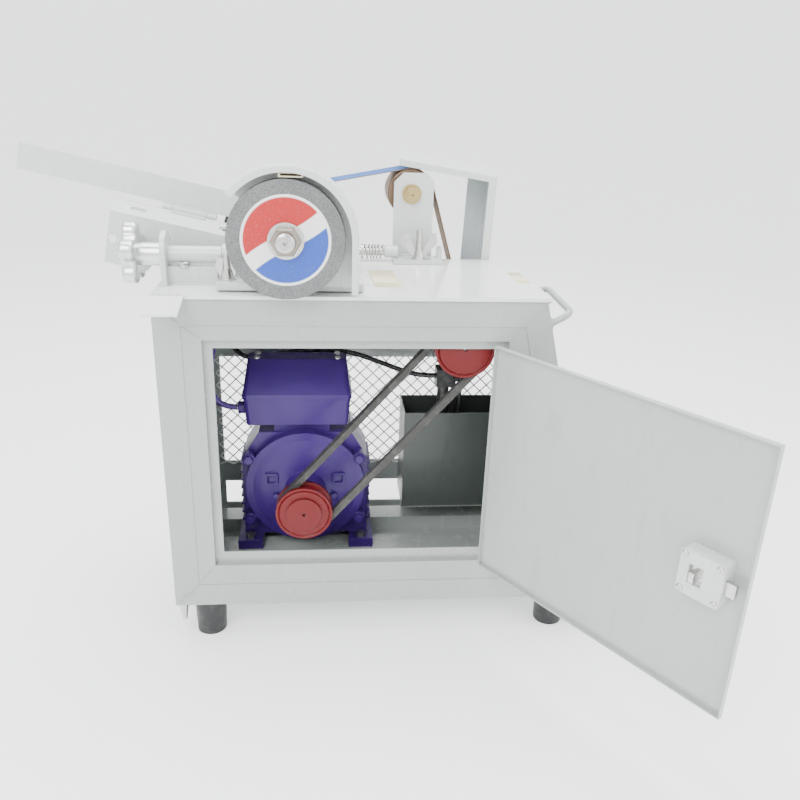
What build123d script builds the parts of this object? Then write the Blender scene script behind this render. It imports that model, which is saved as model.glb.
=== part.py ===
"""Wet grinding sharpener: a steel cabinet with a grinding wheel, a tool rest and an abrasive belt on top.

A motor in the cabinet turns a jackshaft by a V-belt.  The jackshaft's rear wheel drives the abrasive
belt, and the belt turns the wheel spindle by its contact wheel.  All lengths are millimetres.
Lengths in x, y and z are measured from the lower left corner of the door opening in the front face;
`datum` carries them to the part's own frame, whose origin is on the floor under the machine's middle.
"""
import os
from math import acos, atan2, cos, degrees, hypot, pi, radians, sin

from build123d import *

# ---------------------------------------------------------------- driving dimensions
datum = Vector(-151.0, -5.7, 105.5)

sheet = 3.0                 # thickness of the angle bars
cabinet_left = -52.0
cabinet_bottom = -57.0
cabinet_top = 338.5
cabinet_depth = 217.0
bar = 30.0                  # leg of the angle bars
right_top = 386.5           # outer edge of the right posts at the top
right_lean = 0.255          # how far those posts run outwards for each mm down
rear_bar = 40.0             # wider leg of the rear posts

opening_width = 346.5       # rebate that the door closes into
opening_height = 291.0
rebate_depth = 8.0
stop_thick = 2.0
stop_left, stop_right, stop_bottom, stop_top = 10.5, 334.0, 15.0, 280.0

floor_z = -105.5
foot_x = (-12.0, 436.0)
foot_y = (22.0, 195.0)

table_top = 342.5
table_right = 389.8
table_front = -3.3
table_back = 220.3

hinge_x, hinge_y = 335.5, -4.0
door_angle = 56.1           # the open door's direction, turned from +X towards the front
door_width, door_low, door_high = 329.0, 2.0, 289.0
door_skin, door_skin_at, door_fold = 1.5, 5.0, 6.7

motor_x, motor_z = 109.5, 63.5
shaft_height = 90.0
pulley_front, pulley_width, pulley_radius = 14.0, 22.0, 35.0
belt_plane_y = pulley_front + pulley_width / 2
jack_x, jack_z = 298.5, 277.3
jack_radius = 10.0

spindle_x, spindle_z = 96.1, 405.7
wheel_front, wheel_width, wheel_radius = -22.0, 16.0, 62.0
guard_radius, guard_wall = 76.0, 3.0

belt_front, belt_width, belt_thick = 229.0, 60.0, 1.2
contact_radius, idler_radius, drive_radius = 25.0, 31.0, 29.0
idler_x, idler_z = 251.0, 429.0

rest_y, rest_z = 60.0, 375.0          # axis of the tool rest's clamp shaft
rest_slope = 12.1                     # the rest runs down to the right at this angle
rest_face_y = 98.0
rest_corner = (-109.5, 417.3)

tank_low, tank_high = (243.0, 130.0, 8.0), (398.0, 200.0, 150.0)


# ---------------------------------------------------------------- planes and helpers
def front_plane(y):
    """Sketch x is +X and sketch y is +Z; a negative extrusion runs back into the machine."""
    return Plane(origin=datum + Vector(0, y, 0), x_dir=(1, 0, 0), z_dir=(0, -1, 0))


def top_plane(z):
    """Sketch x is +X and sketch y is +Y; extrusions rise."""
    return Plane(origin=datum + Vector(0, 0, z), x_dir=(1, 0, 0), z_dir=(0, 0, 1))


def side_plane(x):
    """Sketch x is +Y and sketch y is +Z; extrusions run to +X."""
    return Plane(origin=datum + Vector(x, 0, 0), x_dir=(0, 1, 0), z_dir=(1, 0, 0))


def axis_plane(x, z):
    """Half section of a turned piece about an axis along Y: sketch x is +Y, sketch y is the radius."""
    return Plane(origin=datum + Vector(x, 0, z), x_dir=(0, 1, 0), z_dir=(1, 0, 0))


def turn_axis(x, z):
    return Axis(datum + Vector(x, 0, z), (0, 1, 0))


def box(x0, x1, y0, y1, z0, z1, mode=Mode.ADD):
    """A block from one corner to the other, inside the current part."""
    with BuildSketch(top_plane(z0)) as shape:
        with Locations(((x0 + x1) / 2, (y0 + y1) / 2)):
            Rectangle(x1 - x0, y1 - y0)
    extrude(shape.sketch, amount=z1 - z0, mode=mode)


def turned(x, z, outline, mode=Mode.ADD):
    """A solid of revolution about the Y direction through (x, z); outline is (y, radius) points."""
    with BuildSketch(axis_plane(x, z)) as shape:
        with BuildLine():
            Polyline(*outline, close=True)
        make_face()
    revolve(shape.sketch, axis=turn_axis(x, z), mode=mode)


def ring(x, z, y0, y1, outer, inner=0.0, mode=Mode.ADD):
    """A plain round piece between two y positions."""
    turned(x, z, [(y0, inner), (y1, inner), (y1, outer), (y0, outer)], mode)


def right_edge(z):
    """Outer edge of the leaning right posts at height z."""
    return right_top + (cabinet_top - z) * right_lean


def save(piece, name):
    piece.part.label = name
    export_step(piece.part, f"parts/{name}.step")


os.makedirs("parts", exist_ok=True)


# ---------------------------------------------------------------- cabinet frame
def leaning_bar(inset, width, z0, z1):
    """Four corners of a strip that follows the right posts, inset from their outer edge."""
    return [
        (right_edge(z0) - inset - width, z0),
        (right_edge(z0) - inset, z0),
        (right_edge(z1) - inset, z1),
        (right_edge(z1) - inset - width, z1),
    ]


def post_pair(y_face, y_inner, direction, leg):
    """Left and right angle posts; their face flange is at y_face and the other flange runs inwards."""
    with BuildSketch(front_plane(y_face)) as shape:
        with Locations((cabinet_left + leg / 2, (cabinet_bottom + cabinet_top) / 2)):
            Rectangle(leg, cabinet_top - cabinet_bottom)
        with BuildLine():
            Polyline(*leaning_bar(0, leg, cabinet_bottom, cabinet_top), close=True)
        make_face()
    extrude(shape.sketch, amount=-direction * sheet)
    with BuildSketch(front_plane(y_face)) as shape:
        with Locations((cabinet_left + sheet / 2, (cabinet_bottom + cabinet_top) / 2)):
            Rectangle(sheet, cabinet_top - cabinet_bottom)
        with BuildLine():
            Polyline(*leaning_bar(0, sheet, cabinet_bottom, cabinet_top), close=True)
        make_face()
    extrude(shape.sketch, amount=-(y_inner - y_face))


def cross_rail(y_face, direction, leg, z0, z1, flange_z, side):
    """A horizontal angle bar between the two posts, cut to the lean at its right end."""
    corners = leaning_bar(side, sheet, z0, z1)[1:3]
    left = cabinet_left + side
    with BuildSketch(front_plane(y_face)) as shape:
        with BuildLine():
            Polyline((left, z0), *corners, (left, z1), close=True)
        make_face()
    extrude(shape.sketch, amount=-direction * sheet)
    right = right_edge(flange_z + sheet) - side
    y0, y1 = sorted((y_face, y_face + direction * leg))
    box(left, right, y0, y1, flange_z, flange_z + sheet)


with BuildPart() as front_frame:
    post_pair(0.0, bar, 1, bar)
    cross_rail(0.0, 1, bar, cabinet_top - bar, cabinet_top, cabinet_top - sheet, bar)
    cross_rail(0.0, 1, bar, cabinet_bottom, cabinet_bottom + 29, cabinet_bottom, bar)
save(front_frame, "front_frame")

bar_low, bar_high, panel_low = 9.0, 41.0, 203.0
with BuildPart() as rear_frame:
    post_pair(cabinet_depth, cabinet_depth - bar, -1, rear_bar)
    cross_rail(cabinet_depth, -1, bar, panel_low, cabinet_top, cabinet_top - sheet, rear_bar)
    cross_rail(cabinet_depth, -1, 4.0, bar_low, bar_high, bar_low, rear_bar)
    cross_rail(cabinet_depth, -1, bar, cabinet_bottom, cabinet_bottom + 29, cabinet_bottom, rear_bar)
    ring(jack_x, jack_z, cabinet_depth - sheet - 1, cabinet_depth + 1, jack_radius + 6, mode=Mode.SUBTRACT)
save(rear_frame, "rear_frame")

with BuildPart() as side_rails:
    for z0, z1 in ((cabinet_bottom, cabinet_bottom + bar), (cabinet_top - bar, cabinet_top)):
        flange = z0 if z0 == cabinet_bottom else cabinet_top - sheet
        left = cabinet_left + sheet + 1.5
        box(left, left + sheet, bar, cabinet_depth - bar, z0, z1)
        box(left, left + bar - 4, bar, cabinet_depth - bar, flange, flange + sheet)
        with BuildSketch(front_plane(bar)):
            with BuildLine():
                Polyline(*leaning_bar(sheet + 1.5, sheet, z0, z1), close=True)
            make_face()
        extrude(amount=-(cabinet_depth - 2 * bar))
        right = right_edge(flange + sheet) - sheet - 1.5 - sheet
        box(right - bar + 6, right + 1, bar, cabinet_depth - bar, flange, flange + sheet)
save(side_rails, "side_rails")

with BuildPart() as side_panels:
    box(cabinet_left + sheet, cabinet_left + sheet + 1.2, sheet + 0.5, cabinet_depth - sheet - 0.5,
        cabinet_bottom + sheet, cabinet_top - sheet - 0.5)
    with BuildSketch(front_plane(sheet + 0.5)):
        with BuildLine():
            Polyline(*leaning_bar(sheet, 1.2, cabinet_bottom + sheet, cabinet_top - sheet - 0.5), close=True)
        make_face()
    extrude(amount=-(cabinet_depth - 2 * sheet - 1))
save(side_panels, "side_panels")

face_y = 0.8                # the door frame's face stands this far behind the outer angle's face
with BuildPart() as door_frame:
    z_low, z_high = cabinet_bottom + 29 + 0.2, cabinet_top - bar - 0.2
    with BuildSketch(front_plane(face_y)):
        with BuildLine():
            Polyline(
                (cabinet_left + bar + 0.2, z_low),
                (right_edge(z_low) - bar - 0.2, z_low),
                (right_edge(z_high) - bar - 0.2, z_high),
                (cabinet_left + bar + 0.2, z_high),
                close=True,
            )
        make_face()
        with Locations((opening_width / 2, opening_height / 2)):
            Rectangle(opening_width, opening_height, mode=Mode.SUBTRACT)
    extrude(amount=-sheet)
    lip = 2.5
    with BuildSketch(front_plane(face_y)):
        with Locations((opening_width / 2, opening_height / 2)):
            Rectangle(opening_width + 2 * lip, opening_height + 2 * lip)
            Rectangle(opening_width, opening_height, mode=Mode.SUBTRACT)
    extrude(amount=-(rebate_depth + stop_thick - face_y))
    with BuildSketch(front_plane(rebate_depth)):
        with Locations((opening_width / 2, opening_height / 2)):
            Rectangle(opening_width, opening_height)
        with Locations(((stop_left + stop_right) / 2, (stop_bottom + stop_top) / 2)):
            Rectangle(stop_right - stop_left, stop_top - stop_bottom, mode=Mode.SUBTRACT)
    extrude(amount=-stop_thick)
save(door_frame, "door_frame")

mesh_left = cabinet_left + rear_bar - 6
mesh_right = right_edge(panel_low) - rear_bar + 4
mesh_y = cabinet_depth - sheet - 1.2
diamond_w, diamond_h, strand = 26.0, 13.0, 2.2
with BuildPart() as back_mesh:
    with BuildSketch(front_plane(mesh_y)):
        with Locations(((mesh_left + mesh_right) / 2, (bar_high + panel_low) / 2)):
            Rectangle(mesh_right - mesh_left, panel_low - bar_high + 10)
        columns = int((mesh_right - mesh_left - 14) // diamond_w)
        rows = int((panel_low - bar_high - 2) // diamond_h)
        for shift, n, m in ((0.0, columns, rows), (diamond_w / 2, columns - 1, rows - 1)):
            with Locations(((mesh_left + mesh_right) / 2, (bar_high + panel_low) / 2)):
                with GridLocations(diamond_w, diamond_h, n, m):
                    half_w = diamond_w / 2 - strand
                    half_h = diamond_h / 2 - strand / 2
                    Polygon((-half_w, 0), (0, -half_h), (half_w, 0), (0, half_h), mode=Mode.SUBTRACT)
    extrude(amount=-1.0)
save(back_mesh, "back_mesh")

rail_top = motor_z - shaft_height
pan_top = -46.0
with BuildPart() as under_frame:
    inner_left = cabinet_left + 2 * sheet + 1.5
    for y0, y1 in ((74.0, 112.0), (160.0, 193.0)):
        right = right_edge(rail_top) - 2 * sheet - 1.5
        box(inner_left, right, y0, y1, rail_top - sheet, rail_top)
        box(inner_left, right, y0, y0 + sheet, rail_top - 22, rail_top - sheet)
    box(tank_low[0] + 5, tank_high[0] - 5, 189.5, 192.5, rail_top, tank_low[2] - sheet)
    box(tank_low[0] + 5, tank_high[0] - 5, 132.0, 192.5, tank_low[2] - sheet, tank_low[2])
    pan_right = right_edge(rail_top) - 2 * sheet - 1.5
    box(inner_left, pan_right, 14.0, 190.0, pan_top - sheet, pan_top)
    for y in (74.0, 160.0):
        box(inner_left, pan_right, y, y + sheet, pan_top, rail_top - sheet)
save(under_frame, "under_frame")

with BuildPart() as rubber_feet:
    for x in foot_x:
        for y in foot_y:
            with BuildSketch(top_plane(floor_z)) as foot_bottom:
                with Locations((x, y)):
                    Circle(18.5)
            with BuildSketch(top_plane(cabinet_bottom)) as foot_top:
                with Locations((x, y)):
                    Circle(20.0)
            loft(sections=[foot_bottom.sketch, foot_top.sketch])
            with Locations(top_plane(floor_z).location * Location((x, y, 0), (180, 0, 0))):
                CounterBoreHole(radius=4.5, counter_bore_radius=9, counter_bore_depth=12, depth=30)
save(rubber_feet, "rubber_feet")

with BuildPart() as drain_spout:
    with BuildSketch(top_plane(cabinet_bottom)) as spout_top:
        with Locations((-43.5, 8)):
            Circle(6)
    with BuildSketch(top_plane(-82)) as spout_tip:
        with Locations((-43.5, 8)):
            Circle(3)
    loft(sections=[spout_tip.sketch, spout_top.sketch])
    with BuildSketch(top_plane(-82)):
        with Locations((-43.5, 8)):
            Circle(1.8)
    extrude(amount=25, mode=Mode.SUBTRACT)
save(drain_spout, "drain_spout")

handle_radius = 4.0
handle_points = [
    (right_edge(310), 8.0, 310.0),
    (417.0, 6.0, 324.0),
    (417.0, 112.0, 328.0),
    (right_edge(322), 112.0, 322.0),
]
with BuildPart() as side_handle:
    with BuildLine() as handle_path:
        FilletPolyline(*[datum + Vector(*p) for p in handle_points], radius=10)
    start = handle_path.line @ 0
    with BuildSketch(Plane(origin=start, z_dir=handle_path.line % 0)):
        Circle(handle_radius)
    sweep(path=handle_path.line)
    for p in (handle_points[0], handle_points[3]):
        with BuildSketch(side_plane(p[0] - 1)):
            with Locations((p[1], p[2])):
                Circle(7)
        extrude(amount=3)
    with BuildSketch(front_plane(-10)):
        with BuildLine():
            Polyline(*leaning_bar(-0.02, 12, 290, 335), close=True)
        make_face()
    extrude(amount=-160, mode=Mode.SUBTRACT)
save(side_handle, "side_handle")

# ---------------------------------------------------------------- table
stud_idler = (260.5, 192.0)
stud_base = (28.0, 32.0)
stud_radius = 4.0
hose_hole = (6.0, 176.0)
with BuildPart() as table_plate:
    box(cabinet_left, table_right, table_front, table_back, cabinet_top, table_top)
    with BuildSketch(side_plane(cabinet_left)):
        with BuildLine():
            Polyline(
                (table_front, cabinet_top), (table_front, table_top),
                (table_front - 42, table_top - 10), (table_front - 42, table_top - 12.5), close=True,
            )
        make_face()
    extrude(amount=37)
    for x, y, r in ((*hose_hole, 6.5), (*stud_idler, stud_radius), (*stud_base, stud_radius)):
        with BuildSketch(top_plane(cabinet_top - 1)):
            with Locations((x, y)):
                Circle(r)
        extrude(amount=10, mode=Mode.SUBTRACT)
save(table_plate, "table_plate")

with BuildPart() as clamp_studs:
    for x, y, top in ((*stud_idler, 386.0), (*stud_base, 382.0)):
        with BuildSketch(top_plane(cabinet_top)):
            with Locations((x, y)):
                Circle(stud_radius)
        extrude(amount=top - cabinet_top)
save(clamp_studs, "clamp_studs")


def wing_nut(x, y, base, reach, height):
    """A hub with a washer foot and two rounded wings in the XZ plane, bored for its stud."""
    with BuildSketch(top_plane(base)) as shape:
        with Locations((x, y)):
            Circle(8.5)
    extrude(shape.sketch, amount=2.0)
    with BuildSketch(top_plane(base + 2)) as hub_low:
        with Locations((x, y)):
            Circle(7.5)
    with BuildSketch(top_plane(base + 12)) as hub_high:
        with Locations((x, y)):
            Circle(5.6)
    loft(sections=[hub_low.sketch, hub_high.sketch])
    with BuildSketch(front_plane(y - 1.6)) as shape:
        for side in (-1, 1):
            with BuildLine():
                Polyline(
                    (x + side * 4.8, base + 3), (x + side * 7.5, base + 3),
                    (x + side * reach, base + height * 0.62), (x + side * (reach - 1.5), base + height),
                    (x + side * (reach - 9), base + height), (x + side * 4.8, base + 11), close=True,
                )
            make_face()
    extrude(shape.sketch, amount=-3.2)
    with BuildSketch(top_plane(base - 1)) as shape:
        with Locations((x, y)):
            Circle(stud_radius + 0.05)
    extrude(shape.sketch, amount=height + 4, mode=Mode.SUBTRACT)


bracket_foot = 5.0
idler_nut_base = table_top + bracket_foot
with BuildPart() as idler_wing_nut:
    wing_nut(*stud_idler, idler_nut_base, 24.0, 34.0)
save(idler_wing_nut, "idler_wing_nut")

base_low, base_high = table_top + 2.0, table_top + 10.0
with BuildPart() as base_wing_nut:
    wing_nut(*stud_base, base_high, 12.5, 24.0)
save(base_wing_nut, "base_wing_nut")

# ---------------------------------------------------------------- door
door_plane = Plane(
    origin=datum + Vector(hinge_x, hinge_y, 0),
    x_dir=(cos(radians(door_angle)), -sin(radians(door_angle)), 0),
    z_dir=(-sin(radians(door_angle)), -cos(radians(door_angle)), 0),
)


def door_block(u0, u1, z0, z1, w0, w1, mode=Mode.ADD):
    """A block in the door's own directions: along it from the hinge, up, and towards its inner side."""
    with BuildSketch(door_plane.offset(w0)) as shape:
        with Locations(((u0 + u1) / 2, (z0 + z1) / 2)):
            Rectangle(u1 - u0, z1 - z0)
    extrude(shape.sketch, amount=w1 - w0, mode=mode)


skin_in = door_skin_at + door_skin
with BuildPart() as door_panel:
    door_block(1.5, door_width, door_low, door_high, door_skin_at, door_skin_at + door_fold)
    door_block(3.0, door_width - 1.5, door_low + 1.5, door_high - 1.5, skin_in, skin_in + 20, Mode.SUBTRACT)
save(door_panel, "door_panel")

hinge_bottoms = (38.0, 206.0)
half_height, barrel, hinge_pin = 24.0, 4.5, 2.5


def barrel_ring(z0, z1, outer, inner=0.0):
    with BuildSketch(top_plane(z0)) as shape:
        with Locations((hinge_x, hinge_y)):
            Circle(outer)
            if inner:
                Circle(inner, mode=Mode.SUBTRACT)
    extrude(shape.sketch, amount=z1 - z0)


with BuildPart() as hinge_frame_halves:
    for z in hinge_bottoms:
        barrel_ring(z, z + half_height, barrel)
        barrel_ring(z + half_height, z + 2 * half_height - 2, hinge_pin)
        box(hinge_x + 0.5, hinge_x + 3.5, hinge_y + 1, rebate_depth, z, z + half_height)
save(hinge_frame_halves, "hinge_frame_halves")

with BuildPart() as hinge_door_halves:
    for z in hinge_bottoms:
        low, high = z + half_height + 0.3, z + 2 * half_height
        barrel_ring(low, high, barrel)
        door_block(0.0, 24.0, low, high, door_skin_at - 1.5, door_skin_at)
        with BuildSketch(top_plane(low - 1)):
            with Locations((hinge_x, hinge_y)):
                Circle(hinge_pin + 0.05)
        extrude(amount=half_height, mode=Mode.SUBTRACT)
save(hinge_door_halves, "hinge_door_halves")

case_left, case_right, case_low, case_high = 268.0, 312.0, 122.0, 168.0
tongue_low, tongue_high, tongue_w0, tongue_w1 = 138.0, 152.0, 16.0, 20.0
with BuildPart() as latch_case:
    door_block(case_left, case_right, case_low, case_high, skin_in, skin_in + 18)
    fillet(latch_case.edges().filter_by(Axis(datum, door_plane.z_dir)), radius=4)
    door_block(case_left - 1, case_right + 1, tongue_low - 0.3, tongue_high + 0.3,
               tongue_w0 - 0.3, tongue_w1 + 0.3, Mode.SUBTRACT)
    door_block(case_left + 10, case_left + 24, tongue_low - 3, tongue_high + 3,
               tongue_w1, skin_in + 19, Mode.SUBTRACT)
save(latch_case, "latch_case")

with BuildPart() as latch_tongue:
    door_block(case_left + 2, 322.0, tongue_low, tongue_high, tongue_w0, tongue_w1)
    door_block(case_left + 14, case_left + 19, tongue_low + 2, tongue_high - 2, tongue_w1, skin_in + 24)
save(latch_tongue, "latch_tongue")

# ---------------------------------------------------------------- motor
shield_front, shield_back, housing_back, motor_back = 84.0, 98.0, 168.0, 206.0
shaft_radius = 12.0
with BuildPart() as motor_housing:
    with BuildSketch(front_plane(shield_back)):
        with Locations((motor_x, motor_z)):
            Polygon((-82, -shaft_height), (-58, -shaft_height), (-58, -76), (58, -76), (58, -shaft_height),
                    (82, -shaft_height), (82, 38), (60, 74), (-60, 74), (-82, 38), align=None)
    extrude(amount=-(housing_back - shield_back))
    for side in (-1, 1):
        x0, x1 = sorted((motor_x + side * 58, motor_x + side * 90.5))
        box(x0, x1, shield_front - 4, housing_back + 14, rail_top, rail_top + 13)
        x0, x1 = sorted((motor_x + side * 82, motor_x + side * 86))
        for i in range(8):
            z = motor_z - 58 + i * 12.0
            box(x0, x1, shield_back + 4, housing_back - 2, z, z + 3)
    box(motor_x - 40, motor_x + 32, shield_back + 4, housing_back - 4, motor_z + 60, 148.8)
    ring(motor_x, motor_z, shield_back - 1, housing_back + 1, 71.0, mode=Mode.SUBTRACT)
save(motor_housing, "motor_housing")

shield_outline = [
    (shield_back, shaft_radius + 0.6), (shield_front - 20, shaft_radius + 0.6), (shield_front - 20, 23.0),
    (shield_front - 6, 27.0), (shield_front - 2, 58.0), (shield_front, 68.0), (shield_front, 78.0),
    (shield_back, 78.0),
]
lugs = [(-73.0, 42.0), (70.5, 42.0), (-73.0, -46.0), (70.5, -46.0)]
with BuildPart() as motor_end_shield:
    turned(motor_x, motor_z, shield_outline)
    with BuildSketch(front_plane(shield_front)):
        for dx, dz in lugs:
            with Locations((motor_x + dx, motor_z + dz)):
                Circle(8.5)
    extrude(amount=-(shield_back - shield_front))
    for side in (-1, 1):
        with BuildSketch(front_plane(shield_front - 7)):
            with Locations((motor_x + side * 43.4, motor_z + 15.6)):
                RectangleRounded(17, 17, 3)
                RectangleRounded(11, 11, 2, mode=Mode.SUBTRACT)
        extrude(amount=-7)
        with BuildSketch(front_plane(shield_front - 10)):
            with Locations((motor_x + side * 38, motor_z - 8)):
                Circle(4)
        extrude(amount=-9)
save(motor_end_shield, "motor_end_shield")

with BuildPart() as motor_fan_cover:
    ring(motor_x, motor_z, housing_back, motor_back, 78.0)
    ring(motor_x, motor_z, housing_back - 1, motor_back - 1.5, 76.5, mode=Mode.SUBTRACT)
    with BuildSketch(front_plane(motor_back - 3)):
        with Locations((motor_x, motor_z)):
            for radius in (24.0, 42.0, 60.0):
                with PolarLocations(radius, int(radius // 4)):
                    Circle(3.2)
    extrude(amount=-6, mode=Mode.SUBTRACT)
save(motor_fan_cover, "motor_fan_cover")

with BuildPart() as motor_fan:
    ring(motor_x, motor_z, 180.0, 200.0, 17.0, 8.0)
    ring(motor_x, motor_z, 180.0, 182.0, 64.0, 12.0)
    blades = 8
    for i in range(blades):
        turn = 360 / blades * i
        blade = Plane(origin=datum + Vector(motor_x, 182, motor_z), z_dir=(0, 1, 0),
                      x_dir=(cos(radians(turn)), 0, sin(radians(turn))))
        with BuildSketch(blade):
            with Locations((39, 0)):
                Rectangle(48, 2.2)
        extrude(amount=17)
save(motor_fan, "motor_fan")

with BuildPart() as motor_shaft:
    turned(motor_x, motor_z, [
        (18.0, 0), (18.0, shaft_radius), (104.0, shaft_radius), (104.0, 34.0), (164.0, 34.0),
        (164.0, 10.0), (176.0, 10.0), (176.0, 8.0), (200.0, 8.0), (200.0, 0),
    ])
save(motor_shaft, "motor_shaft")

box_x, box_front, box_back = 100.0, 95.0, 172.0
box_low, box_rim, lid_top = 149.0, 185.0, 230.0


def box_section(z, width, front, back, corner):
    with BuildSketch(top_plane(z)) as section:
        with Locations((box_x, (front + back) / 2)):
            RectangleRounded(width, back - front, corner)
    return section.sketch


with BuildPart() as terminal_box:
    low = box_section(box_low, 131, box_front, box_back, 6)
    high = box_section(box_rim, 137, box_front - 2, box_back + 2, 6)
    loft(sections=[low, high])
    inner_low = box_section(box_low + 3, 125, box_front + 3, box_back - 3, 4)
    inner_high = box_section(box_rim, 131, box_front + 1, box_back - 1, 4)
    loft(sections=[inner_low, inner_high], mode=Mode.SUBTRACT)
    with BuildSketch(side_plane(box_x - 76)):
        with Locations((110, 168)):
            Circle(8)
            Circle(3.9, mode=Mode.SUBTRACT)
    extrude(amount=14)
    with BuildSketch(side_plane(box_x - 77)):
        with Locations((110, 168)):
            Circle(3.9)
    extrude(amount=20, mode=Mode.SUBTRACT)
save(terminal_box, "terminal_box")

with BuildPart() as terminal_lid:
    with BuildSketch(top_plane(box_rim)):
        with Locations((box_x, (box_front + box_back) / 2)):
            RectangleRounded(140, box_back - box_front + 6, 7)
    extrude(amount=6)
    lid_low = box_section(box_rim + 6, 138, box_front - 3, box_back + 3, 6)
    lid_high = box_section(lid_top, 127, box_front + 26, box_back - 22, 8)
    loft(sections=[lid_low, lid_high])
    hollow_low = box_section(box_rim, 131, box_front + 1, box_back - 1, 5)
    hollow_high = box_section(lid_top - 3, 121, box_front + 30, box_back - 26, 5)
    loft(sections=[hollow_low, hollow_high], mode=Mode.SUBTRACT)
save(terminal_lid, "terminal_lid")

with BuildPart() as foot_bolts:
    for side in (-1, 1):
        for y in (shield_front + 4.5, housing_back + 7):
            with BuildSketch(top_plane(rail_top + 13)):
                with Locations((motor_x + side * 74, y)):
                    RegularPolygon(6.5, 6)
            extrude(amount=6)
save(foot_bolts, "foot_bolts")


# ---------------------------------------------------------------- V-belt drive
groove_half, groove_depth = 6.6, 12.0
groove_slope = 0.306        # tangent of half the 34 degree groove


def grooved_pulley(x, z, bore, boss):
    """A cast pulley with one V groove; boss is how far a round hub stands out in front."""
    back = pulley_front + pulley_width
    bottom = groove_half - groove_depth * groove_slope
    outline = [(pulley_front, 0.0)]
    if boss:
        outline = [(pulley_front - boss, 0.0), (pulley_front - boss, 21.5), (pulley_front, 21.5)]
    outline += [
        (pulley_front, 30.0), (pulley_front + 1.5, 31.0), (pulley_front, 32.5), (pulley_front, pulley_radius),
        (belt_plane_y - groove_half, pulley_radius), (belt_plane_y - bottom, pulley_radius - groove_depth),
        (belt_plane_y + bottom, pulley_radius - groove_depth), (belt_plane_y + groove_half, pulley_radius),
        (back, pulley_radius), (back, 0.0),
    ]
    turned(x, z, outline)
    ring(x, z, pulley_front + 4, back + 1, bore, mode=Mode.SUBTRACT)
    ring(x, z, pulley_front - boss - 1, pulley_front + 5, 2.2, mode=Mode.SUBTRACT)


with BuildPart() as motor_pulley:
    grooved_pulley(motor_x, motor_z, shaft_radius, 3.0)
save(motor_pulley, "motor_pulley")

with BuildPart() as jackshaft_pulley:
    grooved_pulley(jack_x, jack_z, jack_radius, 0.0)
save(jackshaft_pulley, "jackshaft_pulley")

belt_outer, belt_inner = pulley_radius - 0.6, pulley_radius - 8.6
run = Vector(jack_x - motor_x, 0, jack_z - motor_z)
run_angle = degrees(atan2(run.Z, run.X))


def belt_section(offset):
    """Trapezium across the belt, at its height above the run's centre line."""
    top, low = groove_half - 0.4, groove_half - 0.4 - 8.0 * groove_slope
    return Polyline((-top, offset * belt_outer), (top, offset * belt_outer),
                    (low, offset * belt_inner), (-low, offset * belt_inner), close=True)


with BuildPart() as v_belt:
    across = Vector(-run.Z, 0, run.X).normalized()
    for side in (1, -1):
        start = datum + Vector(motor_x, belt_plane_y, motor_z)
        run_plane = Plane(origin=start, x_dir=(0, 1, 0), z_dir=Vector(0, 1, 0).cross(across * side))
        with BuildSketch(run_plane):
            with BuildLine():
                belt_section(1)
            make_face()
        extrude(amount=run.length * (1 if run_plane.z_dir.dot(run) > 0 else -1))
    for x, z, side in ((motor_x, motor_z, 1), (jack_x, jack_z, -1)):
        centre = datum + Vector(x, belt_plane_y, z)
        arc_plane = Plane(origin=centre, x_dir=(0, 1, 0), z_dir=Vector(0, 1, 0).cross(across))
        with BuildSketch(arc_plane):
            with BuildLine():
                belt_section(1)
            make_face()
        revolve(axis=Axis(centre, (0, -side, 0)), revolution_arc=180)
save(v_belt, "v_belt")

# ---------------------------------------------------------------- jackshaft
with BuildPart() as jackshaft:
    ring(jack_x, jack_z, 18.0, belt_front + belt_width + 4, jack_radius)
save(jackshaft, "jackshaft")

with BuildPart() as bearing_blocks:
    for y0 in (58.0, 150.0):
        box(jack_x - 36, jack_x + 36, y0, y0 + 26, cabinet_top - 12, cabinet_top)
        box(jack_x - 14, jack_x + 14, y0 + 3, y0 + 23, jack_z + 20, cabinet_top - 12)
        ring(jack_x, jack_z, y0, y0 + 26, 29.0)
        ring(jack_x, jack_z, y0 - 1, y0 + 27, jack_radius + 0.05, mode=Mode.SUBTRACT)
save(bearing_blocks, "bearing_blocks")

belt_back = belt_front + belt_width
with BuildPart() as drive_wheel:
    ring(jack_x, jack_z, belt_front - 1, belt_back + 1, drive_radius, jack_radius)
    fillet(drive_wheel.edges().filter_by(GeomType.CIRCLE).sort_by(SortBy.RADIUS)[-2:], radius=1.5)
save(drive_wheel, "drive_wheel")

# ---------------------------------------------------------------- spindle and grinding wheel
spindle_radius, nose_radius = 12.5, 10.0
with BuildPart() as spindle:
    turned(spindle_x, spindle_z, [
        (-40.0, 0), (-40.0, 7.5), (-38.5, nose_radius), (wheel_front + wheel_width + 6, nose_radius),
        (wheel_front + wheel_width + 6, spindle_radius), (222.0, spindle_radius), (222.0, nose_radius),
        (belt_back + 5, nose_radius), (belt_back + 5, 0),
    ])
    ring(spindle_x, spindle_z, -41, -34, 2.2, mode=Mode.SUBTRACT)
save(spindle, "spindle")

housing_front, housing_rear, housing_radius = 12.0, 205.0, 28.0
with BuildPart() as spindle_housing:
    ring(spindle_x, spindle_z, housing_front, housing_rear, housing_radius)
    box(spindle_x - 20, spindle_x + 20, 24, 180, base_high + 10, spindle_z)
    box(spindle_x - 40, spindle_x + 40, 20, 184, base_high, base_high + 10)
    for y0, y1 in ((housing_front, 34.0), (housing_rear - 24, housing_rear)):
        ring(spindle_x, spindle_z, y0, y1, housing_radius + 5)
    ring(spindle_x, spindle_z, 0, 240, spindle_radius + 0.05, mode=Mode.SUBTRACT)
    ring(spindle_x, spindle_z, 60, 160, spindle_radius + 5, mode=Mode.SUBTRACT)
save(spindle_housing, "spindle_housing")

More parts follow.
